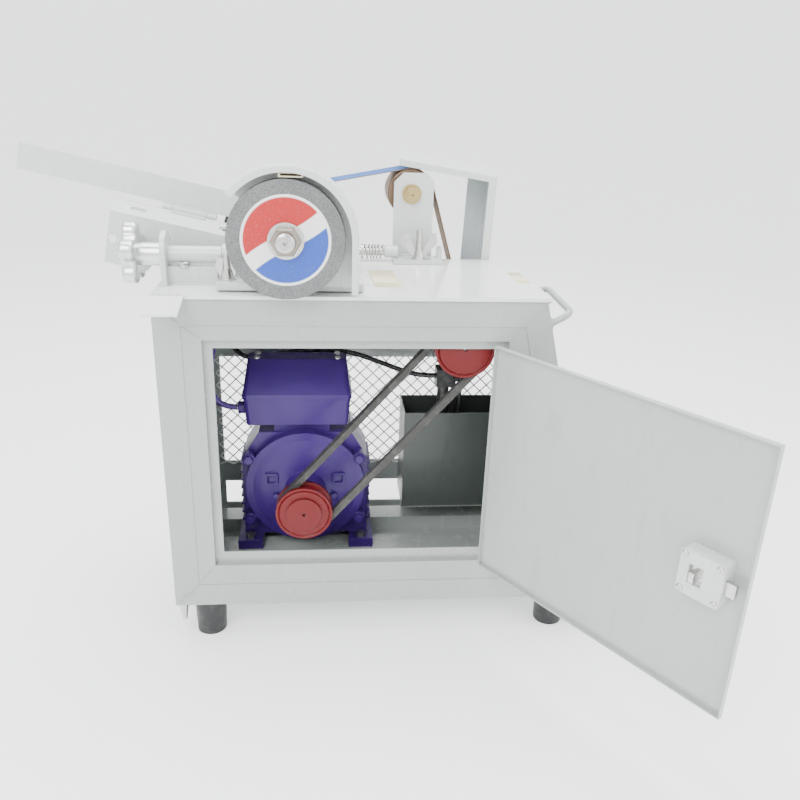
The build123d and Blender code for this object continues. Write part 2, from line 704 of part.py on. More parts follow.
with BuildPart() as contact_wheel:
    ring(spindle_x, spindle_z, belt_front - 1, belt_back + 1, contact_radius, nose_radius)
    fillet(contact_wheel.edges().filter_by(GeomType.CIRCLE).sort_by(SortBy.RADIUS)[-2:], radius=1.5)
save(contact_wheel, "contact_wheel")

washer_radius, washer = 19.0, 3.0
wheel_back = wheel_front + wheel_width
with BuildPart() as wheel_flanges:
    for y0, y1 in ((wheel_front - washer, wheel_front), (wheel_back, wheel_back + 6)):
        ring(spindle_x, spindle_z, y0, y1, washer_radius, nose_radius)
save(wheel_flanges, "wheel_flanges")

with BuildPart() as grinding_wheel:
    ring(spindle_x, spindle_z, wheel_front, wheel_back, wheel_radius, nose_radius)
    fillet(grinding_wheel.edges().filter_by(GeomType.CIRCLE).sort_by(SortBy.RADIUS)[-2:], radius=1.0)
save(grinding_wheel, "grinding_wheel")

with BuildPart() as wheel_label:
    ring(spindle_x, spindle_z, wheel_front - 0.4, wheel_front, 47.0, washer_radius + 0.1)
save(wheel_label, "wheel_label")

nut_back, nut_front = wheel_front - washer, wheel_front - washer - 9
with BuildPart() as spindle_nut:
    with BuildSketch(front_plane(nut_back)):
        with Locations((spindle_x, spindle_z)):
            RegularPolygon(16.2, 6)
    extrude(amount=nut_back - nut_front)
    chamfer(spindle_nut.faces().sort_by(Axis.Y)[0].edges(), length=1.2)
    ring(spindle_x, spindle_z, nut_front - 1, nut_back + 1, nose_radius, mode=Mode.SUBTRACT)
save(spindle_nut, "spindle_nut")

# ---------------------------------------------------------------- wheel guard and its water nozzle
guard_front, guard_back = -26.0, 12.0
guard_start = 142.0         # where the hood begins at its left tip, measured from +X
lip_radius = 68.5


def hood_outline(outer, inner, bottom):
    """A band that runs over the wheel from the left tip and straight down on the right."""
    tip = radians(guard_start)
    middle = radians(guard_start / 2)
    with BuildLine() as outline:
        a = ThreePointArc(
            (spindle_x + outer, spindle_z),
            (spindle_x + outer * cos(middle), spindle_z + outer * sin(middle)),
            (spindle_x + outer * cos(tip), spindle_z + outer * sin(tip)),
        )
        b = ThreePointArc(
            (spindle_x + inner * cos(tip), spindle_z + inner * sin(tip)),
            (spindle_x + inner * cos(middle), spindle_z + inner * sin(middle)),
            (spindle_x + inner, spindle_z),
        )
        Line(a @ 1, b @ 0)
        Polyline(b @ 1, (spindle_x + inner, bottom), (spindle_x + outer, bottom), a @ 0)
    make_face(outline.edges())


hood_bottom = 350.0
with BuildPart() as wheel_guard:
    with BuildSketch(front_plane(guard_front)):
        hood_outline(guard_radius, guard_radius - guard_wall, hood_bottom)
    extrude(amount=-(guard_back - guard_front))
    with BuildSketch(front_plane(guard_front)):
        hood_outline(guard_radius, lip_radius, hood_bottom)
    extrude(amount=-2.5)
    with BuildSketch(front_plane(guard_back - guard_wall)):
        hood_outline(guard_radius, 22.0, hood_bottom)
    extrude(amount=-guard_wall)
    fillet(wheel_guard.edges().filter_by(GeomType.CIRCLE).group_by(Axis.Y)[0].sort_by(SortBy.RADIUS)[-1:],
           radius=2.0)
    with BuildSketch(front_plane(guard_back - guard_wall - 1)):
        with Locations((spindle_x + 6, spindle_z + 66)):
            Circle(3.6)
    extrude(amount=-guard_wall - 2, mode=Mode.SUBTRACT)
save(wheel_guard, "wheel_guard")

nozzle_x, nozzle_z = spindle_x + 6.0, spindle_z + 66.0
with BuildPart() as water_nozzle:
    box(nozzle_x - 12.5, nozzle_x + 12.5, -22.0, 6.0, nozzle_z - 2.6, nozzle_z + 2.6)
    ring(nozzle_x, nozzle_z, 6.0, 30.0, 3.5)
    box(nozzle_x - 10.5, nozzle_x + 10.5, -23.0, -6.0, nozzle_z - 1.2, nozzle_z + 1.2, Mode.SUBTRACT)
    ring(nozzle_x, nozzle_z, -10.0, 31.0, 1.8, mode=Mode.SUBTRACT)
save(water_nozzle, "water_nozzle")

with BuildPart() as base_plate:
    box(17.5, 178.8, 14.0, 186.0, base_low, base_high)
    box(30.0, 165.0, 26.0, 180.0, table_top, base_low)
    with BuildSketch(top_plane(table_top - 1)):
        with Locations(stud_base):
            SlotCenterToCenter(10, 2 * stud_radius + 1)
    extrude(amount=20, mode=Mode.SUBTRACT)
save(base_plate, "base_plate")

# ---------------------------------------------------------------- abrasive belt, idler and tensioner
idler_axle = 6.0
bracket_y, bracket_wall = 217.5, 4.5
with BuildPart() as idler_roller:
    ring(idler_x, idler_z, belt_front - 1, belt_back + 1, idler_radius, idler_axle + 0.05)
    fillet(idler_roller.edges().filter_by(GeomType.CIRCLE).sort_by(SortBy.RADIUS)[-2:], radius=2.0)
save(idler_roller, "idler_roller")

with BuildPart() as idler_bolt:
    turned(idler_x, idler_z, [
        (bracket_y - 11, 0), (bracket_y - 11, idler_axle), (bracket_y - 2, idler_axle),
        (bracket_y - 2, 13.0), (bracket_y, 13.0), (bracket_y, idler_axle),
        (belt_back + 6, idler_axle), (belt_back + 6, 0),
    ])
    with BuildSketch(front_plane(bracket_y - 2)):
        with Locations((idler_x, idler_z)):
            RegularPolygon(10.4, 6)
    extrude(amount=7)
    ring(idler_x, idler_z, bracket_y + bracket_wall + 0.05, belt_front - 1.4, 10.0)
    ring(idler_x, idler_z, bracket_y - 12, bracket_y - 6, 2.0, mode=Mode.SUBTRACT)
save(idler_bolt, "idler_bolt")

rod_y, rod_z, rod_radius = 200.0, 355.6, 5.0
sleeve_left, sleeve_right = 215.5, 233.0
foot_front = 178.0
with BuildPart() as idler_bracket:
    with BuildSketch(front_plane(bracket_y)):
        with BuildLine():
            Polyline(
                (227.5, table_top + 0.2), (280.5, table_top + 0.2), (280.5, 446.0),
                (272.0, 456.0), (240.0, 456.0), (227.5, 444.0), close=True,
            )
        make_face()
        with Locations((idler_x, idler_z)):
            Circle(idler_axle, mode=Mode.SUBTRACT)
    extrude(amount=-bracket_wall)
    box(226.3, 292.8, foot_front, bracket_y, table_top + 0.2, table_top + bracket_foot)
    box(286.8, 292.8, 200.0, bracket_y, table_top + bracket_foot, 361.0)
    box(226.3, sleeve_right, rod_y - 4, rod_y + 4, table_top + bracket_foot, rod_z - 4)
    with BuildSketch(side_plane(sleeve_left)):
        with Locations((rod_y, rod_z)):
            Circle(8.0)
    extrude(amount=sleeve_right - sleeve_left)
    with BuildSketch(side_plane(sleeve_left - 1)):
        with Locations((rod_y, rod_z)):
            Circle(rod_radius + 0.05)
    extrude(amount=60, mode=Mode.SUBTRACT)
    with BuildSketch(top_plane(table_top - 1)):
        with Locations((stud_idler[0] + 4.5, stud_idler[1])):
            SlotOverall(2 * stud_radius + 19, 2 * stud_radius + 0.6)
    extrude(amount=bracket_foot + 2, mode=Mode.SUBTRACT)
save(idler_bracket, "idler_bracket")

with BuildPart() as tension_rod:
    with BuildSketch(side_plane(160.0)):
        with Locations((rod_y, rod_z)):
            Circle(rod_radius)
    extrude(amount=72)
    box(158.0, 168.0, 190.0, 210.0, table_top, rod_z + 10)
    with BuildSketch(side_plane(184.0)):
        with Locations((rod_y, rod_z)):
            Circle(9.5)
    extrude(amount=3)
save(tension_rod, "tension_rod")

spring_left, spring_turns, spring_wire, spring_mean = 187.0, 5, 1.1, 8.6
with BuildPart() as tension_spring:
    pitch = (sleeve_left - spring_left - 2 * spring_wire) / spring_turns
    spring_start = datum + Vector(spring_left + spring_wire, rod_y, rod_z)
    with BuildLine() as spring_path:
        Helix(pitch=pitch, height=pitch * spring_turns, radius=spring_mean,
              center=spring_start, direction=(1, 0, 0))
    with BuildSketch(Plane(origin=spring_path.line @ 0, z_dir=spring_path.line % 0)):
        Circle(spring_wire)
    sweep(path=spring_path.line, is_frenet=True)
save(tension_spring, "tension_spring")


def outer_tangent(xa, za, ra, xb, zb, rb):
    """Ends of the tangent that keeps both circles on its right, going from a to b."""
    length = hypot(xb - xa, zb - za)
    along = atan2(zb - za, xb - xa)
    lift = along + acos((ra - rb) / length)
    nx, nz = cos(lift), sin(lift)
    return (xa + ra * nx, za + ra * nz), (xb + rb * nx, zb + rb * nz)


def belt_loop(extra):
    """Outline round the contact wheel, the idler and the drive wheel, clockwise seen from the front."""
    wheels = [
        (spindle_x, spindle_z, contact_radius + extra),
        (idler_x, idler_z, idler_radius + extra),
        (jack_x, jack_z, drive_radius + extra),
    ]
    runs = [outer_tangent(*wheels[i], *wheels[(i + 1) % 3]) for i in range(3)]
    with BuildLine() as loop:
        for i, (start, end) in enumerate(runs):
            Line(start, end)
            x, z, r = wheels[(i + 1) % 3]
            leave = runs[(i + 1) % 3][0]
            a0 = atan2(end[1] - z, end[0] - x)
            a1 = atan2(leave[1] - z, leave[0] - x)
            while a1 > a0:
                a1 -= 2 * pi
            mid = (a0 + a1) / 2
            ThreePointArc(end, (x + r * cos(mid), z + r * sin(mid)), leave)
    make_face(loop.edges())


with BuildPart() as abrasive_belt:
    with BuildSketch(front_plane(belt_front)) as loop_out:
        belt_loop(belt_thick)
    extrude(amount=-belt_width)
    with BuildSketch(front_plane(belt_front)):
        belt_loop(0.0)
    extrude(amount=-belt_width, mode=Mode.SUBTRACT)
save(abrasive_belt, "abrasive_belt")

cover_front, cover_back, cover_wall = 225.5, 294.0, 1.6
cover_rise, cover_hang = 8.5, 8.0
front_flange, back_flange = 11.0, 28.0
cover_left, cover_corner, cover_foot = (235.2, 472.6), (367.0, 452.2), (360.5, 262.0)


def cover_strip(width):
    """The upright leg's outer line, given a width inwards, as four corners."""
    (x1, z1), (x2, z2) = cover_corner, cover_foot
    return [(x1, z1), (x2, z2), (x2 - width, z2), (x1 - width, z1)]


with BuildPart() as belt_guard:
    fall = Vector(cover_corner[0] - cover_left[0], 0, cover_corner[1] - cover_left[1])
    roof = Plane(origin=datum + Vector(cover_left[0], cover_front, cover_left[1]), x_dir=(0, 1, 0), z_dir=fall)
    depth = cover_back - cover_front
    with BuildSketch(roof):
        with BuildLine():
            Polyline(
                (0, 0), (depth, cover_rise), (depth, cover_rise - cover_wall),
                (cover_wall, -cover_wall), (cover_wall, -cover_hang), (0, -cover_hang), close=True,
            )
        make_face()
    extrude(amount=fall.length)
    with BuildSketch(front_plane(cover_front)):
        with BuildLine():
            Polyline(*cover_strip(cover_wall), close=True)
        make_face()
    extrude(amount=-depth)
    for y, width in ((cover_front, front_flange), (cover_back - cover_wall, back_flange)):
        with BuildSketch(front_plane(y)):
            with BuildLine():
                Polyline(*cover_strip(width), close=True)
            make_face()
        extrude(amount=-cover_wall)
    with BuildSketch(side_plane(cover_corner[0] - cover_wall)):
        with BuildLine():
            Polyline(
                (cover_front, cover_corner[1] - 1), (cover_back, cover_corner[1] - 1),
                (cover_back, cover_corner[1] + cover_rise - 0.4), (cover_front, cover_corner[1] - 0.4), close=True,
            )
        make_face()
    extrude(amount=cover_wall)
    box(344.0, 358.0, cabinet_depth, cover_front + cover_wall, 290.0, 330.0)
save(belt_guard, "belt_guard")

# ---------------------------------------------------------------- tool rest
shaft_r = 6.0
with BuildPart() as rest_post:
    with BuildSketch(side_plane(-46.0)):
        with BuildLine():
            low = Polyline((rest_y - 21, 380.0), (rest_y - 21, table_top), (rest_y + 21, table_top),
                           (rest_y + 21, 380.0))
            ThreePointArc(low @ 1, (rest_y, 401.0), low @ 0)
        make_face()
    extrude(amount=6)
    with BuildSketch(side_plane(-40.0)):
        with Locations((rest_y, rest_z)):
            Circle(9.5)
    extrude(amount=60)
    box(-40.0, 15.0, rest_y - 11, rest_y + 11, table_top, rest_z - 12)
    box(-40.0, 15.0, rest_y - 4, rest_y + 4, rest_z - 12, rest_z - 6)
    with BuildSketch(side_plane(-47.0)):
        with Locations((rest_y, rest_z)):
            Circle(shaft_r + 0.05)
    extrude(amount=80, mode=Mode.SUBTRACT)
save(rest_post, "rest_post")

knob_lobes, knob_radius = 5, 35.5
with BuildPart() as rest_knob:
    with BuildSketch(side_plane(-88.0)) as knob_outline:
        with Locations((rest_y, rest_z)):
            Circle(25)
            with PolarLocations(knob_radius - 11, knob_lobes, start_angle=90):
                Circle(11)
        fillet(knob_outline.vertices(), radius=5)
    extrude(amount=17)
    fillet(rest_knob.faces().sort_by(Axis.X)[0].edges(), radius=4.5)
    fillet(rest_knob.faces().sort_by(Axis.X)[-1].edges(), radius=4.5)
    with BuildSketch(side_plane(-72.0)):
        with Locations((rest_y, rest_z)):
            Circle(13)
    extrude(amount=25.7)
    with BuildSketch(side_plane(-47.0)):
        with Locations((rest_y, rest_z)):
            Circle(shaft_r)
    extrude(amount=97)
save(rest_knob, "rest_knob")

rest_plane = Plane(
    origin=datum + Vector(rest_corner[0], rest_face_y, rest_corner[1]),
    x_dir=(cos(radians(rest_slope)), 0, -sin(radians(rest_slope))),
    z_dir=(0, -1, 0),
)
strip_rise, strip_depth = 13.0, 14.0
barrel_t, barrel_w, barrel_r, pin_r = 15.2, 18.0, 4.0, 1.8
rest_knuckle = (66.0, 105.0)


def rest_section(s0, s1, outline):
    """An extrusion along the rest; outline is (back from the face, up) points."""
    section = Plane(origin=rest_plane.from_local_coords(Vector(s0, 0, 0)),
                    x_dir=(0, 1, 0), z_dir=rest_plane.x_dir)
    with BuildSketch(section) as shape:
        with BuildLine():
            Polyline(*outline, close=True)
        make_face()
    extrude(shape.sketch, amount=s1 - s0)


def rest_round(s0, s1, radius, mode=Mode.ADD):
    section = Plane(origin=rest_plane.from_local_coords(Vector(s0, 0, 0)),
                    x_dir=(0, 1, 0), z_dir=rest_plane.x_dir)
    with BuildSketch(section) as shape:
        with Locations((barrel_w, barrel_t)):
            Circle(radius)
    extrude(shape.sketch, amount=s1 - s0, mode=mode)


with BuildPart() as rest_bracket:
    with BuildSketch(rest_plane):
        with BuildLine():
            Polyline((0, 0), (158, 0), (158, -26), (56, -50), (50, -61), (0, -61), close=True)
        make_face()
        with Locations((6, -32)):
            Circle(5, mode=Mode.SUBTRACT)
    extrude(amount=-3)
    rest_section(0, 158, [(0, 0), (3, 0), (strip_depth, strip_rise - 3), (strip_depth, strip_rise)])
    rest_section(*rest_knuckle, [
        (strip_depth - 3, strip_rise - 6), (strip_depth, strip_rise - 5), (barrel_w + 2, barrel_t - 3),
        (barrel_w, barrel_t), (strip_depth - 3, strip_rise - 1),
    ])
    rest_round(*rest_knuckle, barrel_r)
    rest_round(rest_knuckle[0] - 20, rest_knuckle[1] + 20, pin_r + 0.05, Mode.SUBTRACT)
    for s in (30.0, 132.0):
        section = Plane(origin=rest_plane.from_local_coords(Vector(s, strip_rise / 2, -strip_depth / 2)),
                        x_dir=rest_plane.x_dir, z_dir=rest_plane.y_dir)
        with BuildSketch(section):
            SlotOverall(18, 4)
        extrude(amount=20, both=True, mode=Mode.SUBTRACT)
    with BuildSketch(side_plane(21.0)):
        with Locations((rest_y, rest_z)):
            Circle(12)
    extrude(amount=20)
    box(24.0, 38.0, rest_y, rest_face_y + 1, rest_z - 6, rest_z + 6)
    with BuildSketch(side_plane(20.0)):
        with Locations((rest_y, rest_z)):
            Circle(shaft_r + 0.05)
    extrude(amount=30, mode=Mode.SUBTRACT)
save(rest_bracket, "rest_bracket")

with BuildPart() as rest_plate:
    rest_section(-110.0, 160.0, [
        (barrel_w - 1.5, barrel_t + 5), (barrel_w + 1.5, barrel_t + 5),
        (barrel_w + 1.5, barrel_t + 34), (barrel_w - 1.5, barrel_t + 34),
    ])
    for s0, s1 in ((rest_knuckle[0] - 12, rest_knuckle[0] - 0.3), (rest_knuckle[1] + 0.3, rest_knuckle[1] + 12)):
        rest_round(s0, s1, barrel_r)
        rest_section(s0, s1, [
            (barrel_w - 1.5, barrel_t + 1), (barrel_w + 1.5, barrel_t + 1),
            (barrel_w + 1.5, barrel_t + 6), (barrel_w - 1.5, barrel_t + 6),
        ])
    rest_round(rest_knuckle[0] - 12, rest_knuckle[1] + 12, pin_r)
save(rest_plate, "rest_plate")

# ---------------------------------------------------------------- water tank, pump and hose
wall = 1.5
with BuildPart() as water_tank:
    box(tank_low[0], tank_high[0], tank_low[1], tank_high[1], tank_low[2], tank_high[2])
    box(tank_low[0] + wall, tank_high[0] - wall, tank_low[1] + wall, tank_high[1] - wall,
        tank_low[2] + wall, tank_high[2] + 1, Mode.SUBTRACT)
save(water_tank, "water_tank")

pump_x, pump_y = 298.0, 160.0
with BuildPart() as water_pump:
    with BuildSketch(top_plane(tank_low[2] + wall)):
        with Locations((pump_x, pump_y)):
            Circle(16)
    extrude(amount=36)
    with BuildSketch(top_plane(tank_low[2] + wall + 36)):
        with Locations((pump_x, pump_y)):
            Circle(8)
    extrude(amount=136)
    box(pump_x - 11, pump_x + 11, pump_y - 12, pump_y + 12, 181.0, 206.0)
    for dx in (15.0, 24.0):
        with BuildSketch(top_plane(tank_low[2] + wall + 10)):
            with Locations((pump_x + dx, pump_y)):
                Circle(2.5)
        extrude(amount=176)
    box(pump_x, pump_x + 27, pump_y - 3, pump_y + 3, 186.0, 192.0)
save(water_pump, "water_pump")


def hose(points, radii, outer):
    """A tube along straight runs joined by arcs; prints its radii and the volume its length gives."""
    with BuildLine() as path:
        FilletPolyline(*[datum + Vector(*p) for p in points], radius=radii)
    line = path.wires()[0]
    with BuildSketch(Plane(origin=line @ 0, z_dir=line % 0)) as shape:
        Circle(outer)
    sweep(shape.sketch, path=line)
    print("radii", [round(r, 1) for r in radii], "length", round(line.length, 1),
          "volume by length", round(line.length * pi * outer ** 2))


def bend_radii(points):
    """Each arc takes 0.45 of its shorter run, divided by the tangent of half the turn."""
    radii = []
    for a, b, c in zip(points, points[1:], points[2:]):
        u, v = Vector(*b) - Vector(*a), Vector(*c) - Vector(*b)
        half = radians(u.get_angle(v)) / 2
        radii.append(0.45 * min(u.length, v.length) * cos(half) / sin(half))
    return radii


coolant_points = [
    (nozzle_x, 30.0, nozzle_z), (nozzle_x, 56.0, nozzle_z), (nozzle_x - 12, 96.0, 466.0),
    (60.0, 134.0, 452.0), (26.0, 160.0, 424.0), (8.0, 175.0, 386.0), (6.0, 176.0, 340.0),
    (7.0, 177.0, 288.0), (4.0, 186.0, 240.0), (22.0, 193.0, 206.0), (66.0, 193.0, 213.0),
    (116.0, 193.0, 220.0), (166.0, 192.0, 219.0), (208.0, 186.0, 206.0), (242.0, 171.0, 197.0),
    (pump_x - 32.0, pump_y, 194.0), (pump_x - 11.0, pump_y, 194.0),
]
with BuildPart() as coolant_hose:
    hose(coolant_points, bend_radii(coolant_points), 3.5)
save(coolant_hose, "coolant_hose")
print("coolant hose volume", round(coolant_hose.part.volume))

lead_points = [
    (box_x - 77.0, 110.0, 168.0), (box_x - 97.0, 110.0, 169.0), (-10.0, 106.0, 190.0), (-8.0, 102.0, 226.0),
    (-2.0, 110.0, 258.0), (-12.0, 132.0, 280.0), (-28.0, 152.0, 280.0),
    (cabinet_left + sheet + 1.2, 152.0, 280.0),
]
with BuildPart() as motor_lead:
    hose(lead_points, bend_radii(lead_points), 3.9)
save(motor_lead, "motor_lead")
print("motor lead volume", round(motor_lead.part.volume))

# ---------------------------------------------------------------- switch on the left side panel
switch_x = cabinet_left + sheet
with BuildPart() as switch_box:
    box(switch_x - 30, switch_x, 128.0, 176.0, 236.0, 312.0)
    fillet(switch_box.edges().filter_by(Axis.X), radius=5)
    box(switch_x - 31, switch_x - 22, 141.0, 163.0, 262.0, 298.0, Mode.SUBTRACT)
    with BuildSketch(top_plane(222.0)):
        with Locations((switch_x - 15, 152.0)):
            Circle(9)
            Circle(4, mode=Mode.SUBTRACT)
    extrude(amount=14)
save(switch_box, "switch_box")

rocker_x, rocker_z = switch_x - 27.0, 280.0
with BuildPart() as switch_rocker:
    with BuildSketch(front_plane(141.4)):
        with BuildLine():
            Polyline(
                (rocker_x + 2, rocker_z - 14), (rocker_x + 2, rocker_z + 14), (rocker_x - 4, rocker_z + 15),
                (rocker_x - 2.5, rocker_z), (rocker_x - 6, rocker_z - 15), close=True,
            )
        make_face()
    extrude(amount=-21.2)
save(switch_rocker, "switch_rocker")
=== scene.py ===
"""The look of a wet grinding sharpener: materials, added detail, camera, light and floor."""
from math import acos, atan2, ceil, cos, pi, radians, sin

import bmesh
import bpy
from mathutils import Matrix, Vector


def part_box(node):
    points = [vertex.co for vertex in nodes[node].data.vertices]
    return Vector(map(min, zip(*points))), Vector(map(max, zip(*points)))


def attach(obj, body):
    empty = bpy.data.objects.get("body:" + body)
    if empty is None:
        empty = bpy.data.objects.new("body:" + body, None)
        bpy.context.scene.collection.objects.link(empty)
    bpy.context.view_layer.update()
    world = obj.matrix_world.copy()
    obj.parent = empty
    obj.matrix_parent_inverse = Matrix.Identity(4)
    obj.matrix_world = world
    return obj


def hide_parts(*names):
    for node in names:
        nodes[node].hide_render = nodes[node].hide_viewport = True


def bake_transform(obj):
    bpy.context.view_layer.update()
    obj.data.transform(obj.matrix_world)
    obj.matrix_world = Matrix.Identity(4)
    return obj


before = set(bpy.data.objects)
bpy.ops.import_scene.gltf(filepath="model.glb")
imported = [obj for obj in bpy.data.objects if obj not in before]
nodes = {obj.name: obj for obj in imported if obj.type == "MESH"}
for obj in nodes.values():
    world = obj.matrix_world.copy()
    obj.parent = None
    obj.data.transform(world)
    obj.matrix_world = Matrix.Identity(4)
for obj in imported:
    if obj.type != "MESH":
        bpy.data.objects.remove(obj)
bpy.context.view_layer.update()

# The design's own zero is the lower left corner of the door opening, in the cabinet's front face.
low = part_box("front_frame")[0]
zero = Vector((low.x + 0.052, low.y, low.z + 0.057))


def at(x, y, z):
    """A point given in millimetres from the design's zero, in the row frame."""
    return zero + Vector((x, y, z)) / 1000


def middle(node):
    lo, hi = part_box(node)
    return (lo + hi) / 2


def half(node):
    lo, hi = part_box(node)
    return (hi - lo) / 2


# ---------------------------------------------------------------- material building blocks
def add(tree, kind, props=None, **inputs):
    node = tree.nodes.new(kind)
    for key, value in (props or {}).items():
        setattr(node, key, value)
    for key, value in inputs.items():
        socket = node.inputs[key.replace("_", " ")]
        if isinstance(value, bpy.types.NodeSocket):
            tree.links.new(value, socket)
        else:
            socket.default_value = value
    return node


def calc(tree, operation, *values):
    node = tree.nodes.new("ShaderNodeMath")
    node.operation = operation
    for i, value in enumerate(values):
        if isinstance(value, bpy.types.NodeSocket):
            tree.links.new(value, node.inputs[i])
        else:
            node.inputs[i].default_value = value
    return node.outputs[0]


def remap(tree, value, a, b, c, d):
    node = add(tree, "ShaderNodeMapRange", None, Value=value)
    for key, number in (("From Min", a), ("From Max", b), ("To Min", c), ("To Max", d)):
        node.inputs[key].default_value = number
    return node.outputs[0]


def mix(tree, factor, a, b):
    node = tree.nodes.new("ShaderNodeMix")
    node.data_type = "RGBA"
    for socket, value in ((node.inputs[0], factor), (node.inputs[6], a), (node.inputs[7], b)):
        if isinstance(value, bpy.types.NodeSocket):
            tree.links.new(value, socket)
        else:
            socket.default_value = value
    return node.outputs[2]


def noise(tree, coords, scale, detail=3.0, rough=0.55, distortion=0.0):
    return add(tree, "ShaderNodeTexNoise", None, Vector=coords, Scale=scale, Detail=detail,
               Roughness=rough, Distortion=distortion).outputs[0]


def shade(colour, factor):
    return (*[min(1.0, c * factor) for c in colour], 1.0)


def stretched(tree, coords, scale, centre=(0, 0, 0)):
    return add(tree, "ShaderNodeMapping", None, Vector=coords, Scale=scale,
               Location=(-centre[0] * scale[0], -centre[1] * scale[1], -centre[2] * scale[2])).outputs[0]


def edge_mask(tree, bevel):
    """1 along sharp edges, 0 on flats: how far the rounded normal leaves the true one."""
    true = add(tree, "ShaderNodeNewGeometry").outputs["Normal"]
    dot = tree.nodes.new("ShaderNodeVectorMath")
    dot.operation = "DOT_PRODUCT"
    tree.links.new(true, dot.inputs[0])
    tree.links.new(bevel, dot.inputs[1])
    return remap(tree, dot.outputs["Value"], 0.999, 0.93, 0.0, 1.0)


def start(name):
    material = bpy.data.materials.new(name)
    material.use_nodes = True
    tree = material.node_tree
    tree.nodes.clear()
    return material, tree, add(tree, "ShaderNodeTexCoord").outputs["Object"]


def close(tree, colour, rough, normal, metallic=0.0, **more):
    """Principled shader and output; more holds constants for the shader's own sockets."""
    shader = add(tree, "ShaderNodeBsdfPrincipled", None, Base_Color=colour, Roughness=rough,
                 Normal=normal, Metallic=metallic, **more)
    out = tree.nodes.new("ShaderNodeOutputMaterial")
    tree.links.new(shader.outputs[0], out.inputs[0])


def rounded(tree, radius):
    return add(tree, "ShaderNodeBevel", {"samples": 4}, Radius=radius).outputs[0]


def bump(tree, height, strength, distance, normal):
    return add(tree, "ShaderNodeBump", None, Height=height, Strength=strength, Distance=distance,
               Normal=normal).outputs[0]


def enamel(name, colour, rough=0.22, peel=0.10, grime=0.25, chips=0.35, under=(0.30, 0.30, 0.29),
           lumps=0.0, edge=0.0009, coat=0.35, gloss=0.5):
    """Brushed or sprayed gloss paint: orange peel, soft grime, thin smears and chipped edges."""
    material, tree, coords = start(name)
    normal = rounded(tree, edge)
    clouds = noise(tree, coords, 9.0, 4.0)
    smear = noise(tree, stretched(tree, coords, (1.0, 1.0, 0.35)), 42.0, 6.0, 0.62, 0.8)
    speck = noise(tree, coords, 610.0, 2.0)
    body = mix(tree, clouds, shade(colour, 0.94), shade(colour, 1.05))
    dirt = calc(tree, "MULTIPLY", remap(tree, smear, 0.56, 0.74, 0.0, 1.0), grime)
    body = mix(tree, dirt, body, shade([c * k for c, k in zip(colour, (0.74, 0.72, 0.66))], 1.0))
    dots = calc(tree, "MULTIPLY", remap(tree, speck, 0.70, 0.74, 0.0, 1.0), grime)
    body = mix(tree, dots, body, shade(colour, 0.45))
    broken = remap(tree, noise(tree, coords, 130.0, 5.0, 0.7), 0.55, 0.63, 0.0, 1.0)
    worn = calc(tree, "MULTIPLY", calc(tree, "MULTIPLY", edge_mask(tree, normal), broken), chips)
    body = mix(tree, worn, body, (*under, 1.0))
    shine = calc(tree, "ADD", remap(tree, smear, 0.30, 0.75, rough * 0.8, rough * 1.5),
                 calc(tree, "MULTIPLY", worn, 0.3))
    height = noise(tree, coords, 330.0, 2.0, 0.4)
    if lumps:
        height = calc(tree, "ADD", height, calc(tree, "MULTIPLY", noise(tree, coords, 70.0, 3.0), lumps))
    close(tree, body, shine, bump(tree, height, peel, 0.0006, normal),
          Coat_Weight=coat, Coat_Roughness=0.08, Specular_IOR_Level=gloss)
    return material


def metal(name, colour, rough=0.3, along=(1, 1, 1), grain=900.0, rust=0.0, cast=0.0, edge=0.0004):
    """Machined, plated or cast metal; along below 1 on an axis draws the grain out that way."""
    material, tree, coords = start(name)
    normal = rounded(tree, edge)
    lines = noise(tree, stretched(tree, coords, along), grain, 3.0, 0.6)
    clouds = noise(tree, coords, 55.0, 5.0, 0.6)
    tone = mix(tree, lines, shade(colour, 0.86), shade(colour, 1.10))
    tone = mix(tree, remap(tree, clouds, 0.50, 0.72, 0.0, 0.45), tone, shade(colour, 0.62))
    if rust:
        patches = noise(tree, coords, 160.0, 6.0, 0.7)
        spots = calc(tree, "MULTIPLY", remap(tree, patches, 0.58, 0.70, 0, 1), rust)
        tone = mix(tree, spots, tone, (0.16, 0.075, 0.035, 1.0))
    shine = remap(tree, clouds, 0.3, 0.7, rough * 0.75, rough * 1.4)
    height = lines
    if cast:
        height = calc(tree, "ADD", lines, calc(tree, "MULTIPLY", noise(tree, coords, 260.0, 4.0), cast))
    close(tree, tone, shine, bump(tree, height, 0.18, 0.0003, normal), metallic=1.0)
    return material


def plain(name, colour, rough=0.5, grain=700.0, strength=0.2, dust=0.2, dust_colour=(0.35, 0.33, 0.30),
          edge=0.0006, **more):
    """Rubber or moulded plastic: fine texture, soft tone changes and a little settled dust."""
    material, tree, coords = start(name)
    normal = rounded(tree, edge)
    clouds = noise(tree, coords, 26.0, 5.0, 0.6)
    fine = noise(tree, coords, grain, 3.0, 0.6)
    tone = mix(tree, clouds, shade(colour, 0.8), shade(colour, 1.25))
    settled = noise(tree, coords, 70.0, 6.0, 0.7)
    marks = calc(tree, "MULTIPLY", remap(tree, settled, 0.50, 0.75, 0.0, 1.0), dust)
    tone = mix(tree, marks, tone, (*dust_colour, 1.0))
    shine = remap(tree, clouds, 0.3, 0.7, rough * 0.85, min(1.0, rough * 1.2))
    close(tree, tone, shine, bump(tree, fine, strength, 0.0004, normal), **more)
    return material


